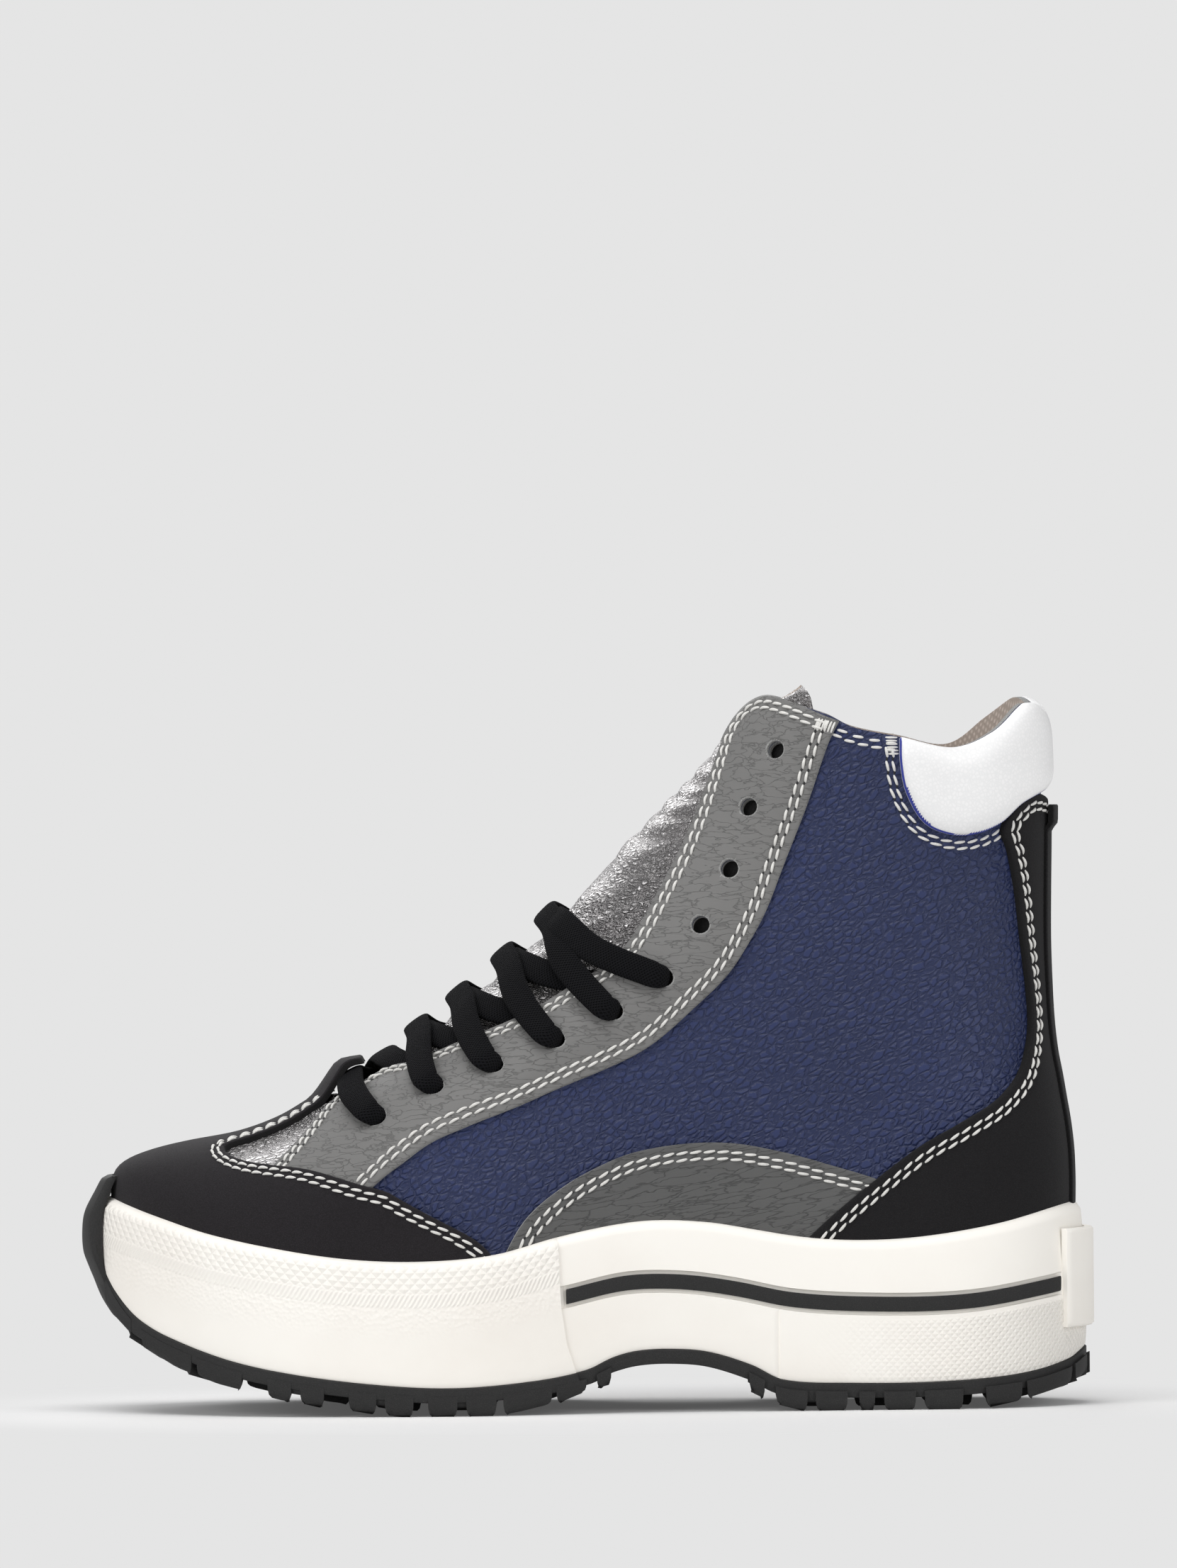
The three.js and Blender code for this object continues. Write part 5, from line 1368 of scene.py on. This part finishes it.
def sole_angles(fine, coarse):
    """Angles from the toe to the heel: close together on the bumper, with a pair at each seam."""
    seam, small = length_at([SEAM_TOP, SMALL_SEAM * LAST_LENGTH])
    cuts = [0, seam - SEAM_MARGIN, seam + SEAM_MARGIN, small - 0.5, small, small + 0.5, half_length[-1]]
    steps = [fine, 1, coarse, 1, 1, coarse]
    parts = []
    for a, b, step in zip(cuts, cuts[1:], steps):
        parts.append(np.linspace(a, b, max(1, int(round((b - a) / step))) + 1)[:-1])
    return np.interp(np.r_[np.concatenate(parts), half_length[-1]], half_length, half_round)


def slanted(angle, z):
    """Angles moved towards the heel where the bumper's seam slants down."""
    x = sole_plan(angle, RIM_OUT)[..., 0]
    here = np.interp(z, SEAM[:, 0], SEAM[:, 1]) * LAST_LENGTH
    move = (here - SEAM_TOP) * np.exp(-(((x - SEAM_TOP) / SEAM_REACH) ** 2))
    speed = np.interp(angle, half_round, np.gradient(half_plan[:, 0], half_round))
    return angle + move / np.minimum(speed, -20)


def mirrored_plan(angle, out, z):
    """Points on both halves of the sole for the same angles either side of the toe."""
    near = np.concatenate([sole_plan(angle, out), z[:, None]], 1)
    back_angle, back_out, back_z = angle[-2:0:-1], out[-2:0:-1], z[-2:0:-1]
    far = np.concatenate([sole_plan(-back_angle, back_out), back_z[:, None]], 1)
    return np.concatenate([near, far])


angles = sole_angles(0.8, 1.35)
x_at = sole_plan(angles, RIM_OUT)[:, 0]
seam_index = int(np.searchsorted(-x_at, -SEAM_TOP))
proud = np.where(np.arange(len(angles)) < seam_index, BUMPER_PROUD, 0.0)
small_notch = SMALL_SEAM_DEPTH * np.exp(-(((x_at - SMALL_SEAM * LAST_LENGTH) / SMALL_SEAM_WIDTH) ** 2))


def stripe_top(x):
    """The height of the stripe's upper edge."""
    return footbed(x) + UPPER_HEIGHT * smooth(STRIPE_TOP, 1, x / LAST_LENGTH)


def midsole_row(kind, share):
    """One ring of the midsole's wall: its points, and how far it lies below the rim and the stripe."""
    angle = angles
    for _ in range(3):
        x = sole_plan(angle, RIM_OUT)[:, 0]
        bottom, top = sole_bottom(x), rim_height(x)
        high = stripe_top(x) + GROOVE_MARGIN
        low = np.maximum(high - STRIPE_WIDTH - 2 * GROOVE_MARGIN, bottom + 1.6)
        high = np.maximum(high, low + 2.0)
        if kind == "foot":
            z = bottom + share
        elif kind == "low":
            z = bottom + 0.5 + (low - bottom - 0.5) * share
        elif kind == "groove":
            z = low + (high - low) * share
        elif kind == "high":
            z = high + (top - LIP_HEIGHT - high) * share
        elif kind == "lip":
            z = top - LIP_HEIGHT + LIP_HEIGHT * np.sin(share * math.pi / 2)
        else:
            z = top - share
        angle = slanted(angles, z)
    height = np.clip((z - bottom) / (top - bottom), 0, 1)
    out = RIM_OUT * smooth(SOLE_WALL, 1, height) + proud
    recess = np.zeros(len(angle))
    if kind == "foot":
        out = out - 0.5 * (1 - share / 0.5) ** 2
    if kind == "groove":
        on_stripe = (x / LAST_LENGTH > STRIPE_FROM) & (x / LAST_LENGTH < STRIPE_TO)
        recess = np.where(on_stripe, GROOVE_DEPTH, 0.0)
    if kind == "low" and share < 1:
        recess = small_notch
    if kind == "lip":
        edge_out = RIM_OUT * LIP_SHARE + proud
        out = edge_out - (edge_out - LIP_INNER) * (1 - np.cos(share * math.pi / 2))
    if kind == "inner":
        out = np.full(len(angle), 0.15)
    ring = mirrored_plan(angle, out - recess, z)
    below = np.r_[top - z, (top - z)[-2:0:-1]]
    under = np.r_[low - z, (low - z)[-2:0:-1]]
    return ring, below, under


plan_rows = [("foot", 0.0), ("foot", 0.15)]
plan_rows += [("low", t) for t in np.linspace(0, 1, 15)]
plan_rows += [("groove", t) for t in (0.03, 0.2, 0.4, 0.6, 0.8, 0.97)]
plan_rows += [("high", t) for t in np.linspace(0, 1, 22)]
plan_rows += [("lip", t) for t in (0.2, 0.4, 0.6, 0.8, 0.92, 1.0)]
plan_rows += [("inner", d) for d in (0.3, 2.0, 6.0, 14.0)]
rings, below, under = zip(*[midsole_row(kind, share) for kind, share in plan_rows])
count = len(rings[0])
arc = np.interp(angles, half_round, half_length)
arc = np.r_[arc, -arc[-2:0:-1]]


def stacked(ring_list, count):
    """Quads between rings, and flat ladders of quads across the first and the last."""
    faces = []
    for r in range(len(ring_list) - 1):
        for i in range(count):
            a, b = r * count + i, r * count + (i + 1) % count
            faces.append((a, b, b + count, a + count))
    for start, turned in ((0, True), ((len(ring_list) - 1) * count, False)):
        for i in range(count // 2):
            corners = [start + k for k in (i, i + 1, (count - i - 1) % count, (count - i) % count)]
            quad = [v for k, v in enumerate(corners) if v not in corners[:k]]
            faces.append(tuple(quad[::-1] if turned else quad))
    return faces


rubber_white, tree = new_material("off_white_rubber")


def sum_of(kind, *values):
    """One step of arithmetic on numbers or on sockets."""
    return add(tree, "ShaderNodeMath", dict(enumerate(values)), operation=kind).outputs["Value"]


def band(value, start, full, fade, end):
    """Rises from 0 to 1 and falls again."""
    rise = {"Value": value, "From Min": start, "From Max": full}
    fall = {"Value": value, "From Min": fade, "From Max": end, "To Min": 1.0, "To Max": 0.0}
    steps = [add(tree, "ShaderNodeMapRange", step, interpolation_type="SMOOTHSTEP") for step in (rise, fall)]
    return sum_of("MULTIPLY", *(step.outputs["Result"] for step in steps))


def knurl(across_wall, down_wall, pitch):
    """Small pyramids in a diamond net."""
    sides = []
    for kind in ("ADD", "SUBTRACT"):
        place_of = sum_of("DIVIDE", sum_of(kind, across_wall, down_wall), pitch)
        sides.append(sum_of("PINGPONG", place_of, 0.5))
    return sum_of("MULTIPLY", sum_of("MINIMUM", *sides), 2.0)


# Heights of the relief in millimetres, read from the length round the wall and the depth below its rim
DIAMOND_PITCH, KNURL_PITCH, SPECKLE_SCALE = 3.0, 2.1, 900.0
DIAMOND_HEIGHT, RIB_HEIGHT, STIPPLE_HEIGHT, KNURL_HEIGHT = 0.34, 0.42, 0.2, 0.5
measured = [
    add(tree, "ShaderNodeAttribute", attribute_name=key).outputs["Fac"] for key in ("arc", "below", "under")
]
round_wall, down, lower = sum_of("ABSOLUTE", measured[0]), measured[1], measured[2]
seam_arc, small_arc = (float(length_at(s * LAST_LENGTH)) for s in (0.532, SMALL_SEAM))
toe_part = band(round_wall, -9.0, -8.0, seam_arc - 0.6, seam_arc - 0.2)
heel_part = band(round_wall, small_arc + 1, small_arc + 95, 900.0, 901.0)
diamonds = sum_of("MULTIPLY", knurl(round_wall, down, DIAMOND_PITCH), band(down, 0.8, 1.8, 8.0, 9.0))
ribs = sum_of("PINGPONG", sum_of("ADD", sum_of("DIVIDE", round_wall, 1.3), sum_of("DIVIDE", down, 2.2)), 0.5)
ribs = sum_of("MULTIPLY", ribs, band(down, 8.6, 9.2, 12.0, 12.8))
place = add(tree, "ShaderNodeTexCoord").outputs["Object"]
speckle = add(tree, "ShaderNodeTexVoronoi", {"Vector": place, "Scale": SPECKLE_SCALE})
stipple = sum_of("MULTIPLY", speckle.outputs["Distance"], band(down, 11.0, 13.0, 14.0, 24.0))
toe_relief = sum_of("ADD", sum_of("MULTIPLY", diamonds, DIAMOND_HEIGHT), sum_of("MULTIPLY", ribs, RIB_HEIGHT))
toe_relief = sum_of("ADD", toe_relief, sum_of("MULTIPLY", stipple, STIPPLE_HEIGHT))
toe_relief = sum_of("MULTIPLY", toe_relief, toe_part)
heel_relief = sum_of("MULTIPLY", knurl(round_wall, lower, KNURL_PITCH), band(lower, 0.9, 1.6, 90.0, 91.0))
heel_relief = sum_of("MULTIPLY", sum_of("MULTIPLY", heel_relief, heel_part), KNURL_HEIGHT)
smudge = add(tree, "ShaderNodeTexNoise", {"Vector": place, "Scale": 16.0, "Detail": 6.0}).outputs["Fac"]
soiled = add(tree, "ShaderNodeMapRange", {"Value": smudge, "From Min": 0.5, "From Max": 0.8})
worn = add(tree, "ShaderNodeMapRange", {"Value": smudge, "To Min": 0.48, "To Max": 0.66})
coated(tree, {
    "Base Color": tones(tree, soiled.outputs["Result"], (0.965, 0.935, 0.875), (0.9, 0.855, 0.79)),
    "Normal": raised(tree, sum_of("ADD", toe_relief, heel_relief), 1.0, 1.0),
    "Roughness": worn.outputs["Result"],
})

points = np.concatenate(rings) + LAST_AT
on_wall = {"arc": np.tile(arc, len(rings)), "below": np.concatenate(below), "under": np.concatenate(under)}
midsole = mesh_object(
    "midsole_rubber", points, stacked(rings, count), (rubber_white,), attributes=on_wall, crease=40
)
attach(midsole, "root")
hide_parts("midsole")

# Stripes. A long black rubber inlay with rounded edges, bonded into the groove on each side of the midsole
# from the heel tag to the seam of the toe bumper.
STRIPE_AROUND, STRIPE_STATIONS, STRIPE_OUT, STRIPE_SQUARE = 16, 260, 0.3, 0.4
rubber_black = leather("black_rubber", (0.028, 0.0275, 0.0275), (0.02, 0.02, 0.02), size=0.5, depth=0.04,
                       strength=0.4, rough=(0.6, 0.75), fine=1.0, seed=31.0, specular=0.3)
stripe_ends = STRIPE_TO + 1.5 / LAST_LENGTH - 0.003, STRIPE_FROM + 0.003
stripe_angles = np.linspace(*(angle_at(end, RIM_LEVEL) for end in stripe_ends), STRIPE_STATIONS)


def squarish(value):
    """Turns the sine of a round section into that of a square one with soft corners."""
    return np.sign(value) * abs(value) ** STRIPE_SQUARE


for side, word in SIDES:
    body = []
    for turn in np.linspace(0, 2 * math.pi, STRIPE_AROUND, endpoint=False):
        high, deep = squarish(math.sin(turn)), squarish(math.cos(turn))
        out = RIM_OUT + STRIPE_OUT - GROOVE_DEPTH + STRIPE_DEPTH / 2 * (1 + deep)
        plan = sole_plan(side * stripe_angles, out)
        z = stripe_top(plan[:, 0]) - STRIPE_WIDTH / 2 * (1 - high)
        body.append(np.concatenate([plan, z[:, None]], 1))
    body = np.array(body).transpose(1, 0, 2)
    faces = tube_faces(STRIPE_STATIONS, STRIPE_AROUND)
    if side > 0:
        faces = [f[::-1] for f in faces]
    stripe = mesh_object("stripe_rubber_" + word, body.reshape(-1, 3) + LAST_AT, faces, (rubber_black,))
    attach(stripe, "root")
    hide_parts("sole_stripe_" + word)

# Heel tag. A plain raised plate of the midsole's rubber with softened edges, moulded on the wall round the
# back of the heel.
TAG_THICKNESS, TAG_HEIGHT, TAG_LOW, TAG_ANGLE, TAG_HALF, TAG_SUNK = 2.2, 27.0, 21.5, 0.3, 22.0, 0.3
TAG_COLUMNS, TAG_ROWS = 49, 41
across, rise = np.meshgrid(np.linspace(-1, 1, TAG_COLUMNS), np.linspace(-1, 1, TAG_ROWS))
edge_gap = np.minimum((1 - np.abs(across)) * TAG_HALF, (1 - np.abs(rise)) * TAG_HEIGHT / 2)
outer = TAG_THICKNESS - 0.7 * (1 - rounded(edge_gap, 0.8))


def tag_face(out):
    """Points of the plate's face at this distance from the wall."""
    plan = sole_plan(math.pi + across * TAG_ANGLE, RIM_OUT + out)
    return np.concatenate([plan, (TAG_LOW + TAG_HEIGHT / 2 * (1 + rise))[..., None]], -1).reshape(-1, 3)


tag = mesh_object(
    "heel_tag_plate", np.concatenate([tag_face(outer), tag_face(-TAG_SUNK)]) + LAST_AT,
    sum(sheet_faces(TAG_COLUMNS, TAG_ROWS), []), (rubber_white,),
)
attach(tag, "root")
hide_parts("heel_tag")

# Outsole. Black rubber: a smooth band under the midsole, three rows of moulded lugs with sharp cleats
# round the edge, and a guard that wraps up over the toe.
SLAB, LUG_PROUD, CHANNEL, MIDDLE_SHARE, GUARD_THICKNESS = 3.6, 0.9, 5.0, 0.36, 4.0
TREAD = np.array([
    (-0.03, 0.21), (0.006, 0.12), (0.051, 0.045), (0.1, 0.0), (0.28, 0.0), (0.31, 0.05), (0.335, 0.13),
    (0.48, 0.19), (0.502, 0.157), (0.529, 0.09), (0.574, 0.028), (0.6, 0.0), (0.7, 0.0), (0.776, 0.06),
    (0.828, 0.112), (0.895, 0.212), (0.939, 0.312), (0.976, 0.445), (1.006, 0.63), (1.028, 0.88),
])
EDGE_LUGS = [  # from and to, along
    (-0.022, 0.0), (0.003, 0.014), (0.017, 0.058), (0.062, 0.095), (0.115, 0.153), (0.162, 0.196),
    (0.205, 0.222), (0.234, 0.31), (0.321, 0.338), (0.485, 0.501), (0.512, 0.545), (0.549, 0.598),
    (0.604, 0.672), (0.686, 0.752), (0.776, 0.831), (0.855, 0.9), (0.905, 0.955), (0.965, 0.99),
]
NOTCH_FROM, NOTCH_TO, NOTCH_HALF, NOTCH_RAISED = 0.05, 0.08, 0.004, 0.42  # lugs of this length are notched
LUG_INNER = 12.0  # millimetres from the edge to the inner line of the lugs at the toe and the heel
MIDDLE_LUGS = [
    (0.03, 0.075), (0.1, 0.15), (0.175, 0.225), (0.25, 0.295), (0.53, 0.58), (0.605, 0.655), (0.68, 0.73),
    (0.755, 0.8), (0.825, 0.865), (0.89, 0.925),
]
GUARD = np.array([  # rise, inside, out
    (0.6, -0.6, 0.3), (0.74, 0.6, 1.2), (0.88, 1.35, 1.8), (0.95, 1.68, 2.1), (1.05, 1.7, 2.45),
    (1.2, 1.62, 2.5), (1.31, 1.5, 2.3), (1.45, 0.9, 1.55), (1.54, 0.42, 1.05),
])
GUARD_ANGLE, GUARD_NARROW, GUARD_COLUMNS, GUARD_ROWS = 0.22, 0.7, 41, 49
GUARD_EDGE, GUARD_ROLL = 1.2, 1.6


def tread(x):
    """The height of the tread's lowest points."""
    return PLATFORM * np.interp(x / LAST_LENGTH, TREAD[:, 0], TREAD[:, 1])


def slab_under(x):
    """The height of the slab's underside, thicker upright where the sole slopes."""
    slope = sole_bottom(x + 1) - sole_bottom(x - 1)
    return sole_bottom(x) - 0.3 - SLAB * np.minimum(2, np.hypot(1, slope / 2))


slab_angles = sole_angles(1.6, 1.6)
slab_x = sole_plan(slab_angles, RIM_OUT)[:, 0]
slab_proud = np.where(slab_x > SEAM_TOP, BUMPER_PROUD, 0.0)
SLAB_SECTION = [  # share of the thickness, and out
    (1.0, -0.9), (1.0, -0.5), (0.94, -0.15), (0.8, 0.0), (0.4, 0.0), (0.04, 0.0), (0.0, -0.15), (-0.12, -1.0),
]
slab_rings = []
for share, inset in SLAB_SECTION:
    angle = slab_angles
    for _ in range(2):
        x = sole_plan(angle, RIM_OUT)[:, 0]
        z = sole_bottom(x) + (slab_under(x) - sole_bottom(x)) * share
        angle = slanted(slab_angles, z)
    slab_rings.append(mirrored_plan(angle, RIM_OUT + slab_proud + inset, z))
points = [np.concatenate(slab_rings)]
faces = stacked(slab_rings, len(slab_rings[0]))
start = len(points[0])


def middle_row(x):
    """Half the width of the middle lugs, and where their middle lies across the sole."""
    share = x / LAST_LENGTH
    return MIDDLE_SHARE * BALL_WIDTH / 2 * smooth(PLAN, 1, share), TOE_SWING * smooth(PLAN, 3, share)


def cleat(loop, z_top, z_foot):
    """A closed block with drafted sides and a soft lower edge from its outline seen from above."""
    here = len(loop)
    inward = unit(np.roll(loop, -1, 0) - np.roll(loop, 1, 0))[:, ::-1] * (-1, 1)
    if ((loop.mean(0) - loop) * inward).sum() < 0:
        inward = -inward
    levels = [(1.0, 0.0), (0.4, 0.15), (0.13, 0.5), (0.0, 1.2)]  # share of the height, and inset
    rings = []
    for rise, inset in levels:
        z = z_foot + (z_top - z_foot) * rise
        rings.append(np.concatenate([loop + inset * inward, z[:, None]], 1))
    faces = tube_faces(len(levels), here)
    area = (loop[:, 0] * np.roll(loop[:, 1], -1) - np.roll(loop[:, 0], -1) * loop[:, 1]).sum()
    return np.concatenate(rings), faces if area < 0 else [f[::-1] for f in faces]


blocks = []
cut_lugs = []
for a, b in EDGE_LUGS:
    middle = (a + b) / 2
    if NOTCH_FROM < b - a < NOTCH_TO:
        cut_lugs.append((a, b, NOTCH_RAISED))
        cut_lugs += [(a, middle - NOTCH_HALF, 0.0), (middle + NOTCH_HALF, b, 0.0)]
    else:
        cut_lugs.append((a, b, 0.0))
for a, b, raised in cut_lugs:
    for side in (1, -1):
        angle = np.linspace(angle_at(b, RIM_LEVEL), min(angle_at(a, RIM_LEVEL), math.pi - 0.02), 9)
        outer_line = sole_plan(side * angle, RIM_OUT + LUG_PROUD - 1.4 * raised)
        half, swing = middle_row(outer_line[::-1, 0])
        inner_y = swing + side * np.minimum(half + CHANNEL, np.abs(outer_line[::-1, 1] - swing) - 1.5)
        inner_line = np.stack([outer_line[::-1, 0], inner_y], -1)
        if a < 0.01 or b > 0.95:
            inner_line = sole_plan(side * angle[::-1], RIM_OUT + LUG_PROUD - LUG_INNER)
        blocks.append((np.concatenate([outer_line, inner_line]), raised))
for a, b in MIDDLE_LUGS:
    x = np.linspace(a, b, 5) * LAST_LENGTH
    half, swing = middle_row(x)
    near, far = (np.stack([x, swing + sign * half], -1) for sign in (-1, 1))
    blocks.append((np.concatenate([near, far[::-1]]), 0.0))
for loop, raised in blocks:
    root_z = sole_bottom(loop[:, 0]) - 0.3 - SLAB / 2
    p, f = cleat(loop, root_z, tread(loop[:, 0]) + raised * (root_z - tread(loop[:, 0])))
    points.append(p)
    faces += shifted(f, start)
    start += len(p)

across, rise = np.meshgrid(np.linspace(-1, 1, GUARD_COLUMNS), np.linspace(0, 1, GUARD_ROWS))
edge_gap = np.minimum((1 - np.abs(across)) * 20, np.minimum(rise, 1 - rise) * 40)


def guard_face(column, drop):
    """Points of the guard's inner or outer face, wrapped round the toe of the midsole."""
    row = GUARD[0, 0] + (GUARD[-1, 0] - GUARD[0, 0]) * rise
    angle = across * GUARD_ANGLE * (1 + (GUARD_NARROW - 1) * rise)
    plan = sole_plan(angle, GUARD_THICKNESS * smooth(GUARD, column, row) - drop)
    return np.concatenate([plan, (row * PLATFORM)[..., None]], -1).reshape(-1, 3)


points += [guard_face(2, GUARD_EDGE * (1 - rounded(edge_gap, GUARD_ROLL))), guard_face(1, 0.0)]
faces += shifted(sum(sheet_faces(GUARD_COLUMNS, GUARD_ROWS), []), start)
outsole = mesh_object("outsole_rubber", np.concatenate(points) + LAST_AT, faces, (rubber_black,), crease=35)
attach(outsole, "root")
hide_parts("outsole")
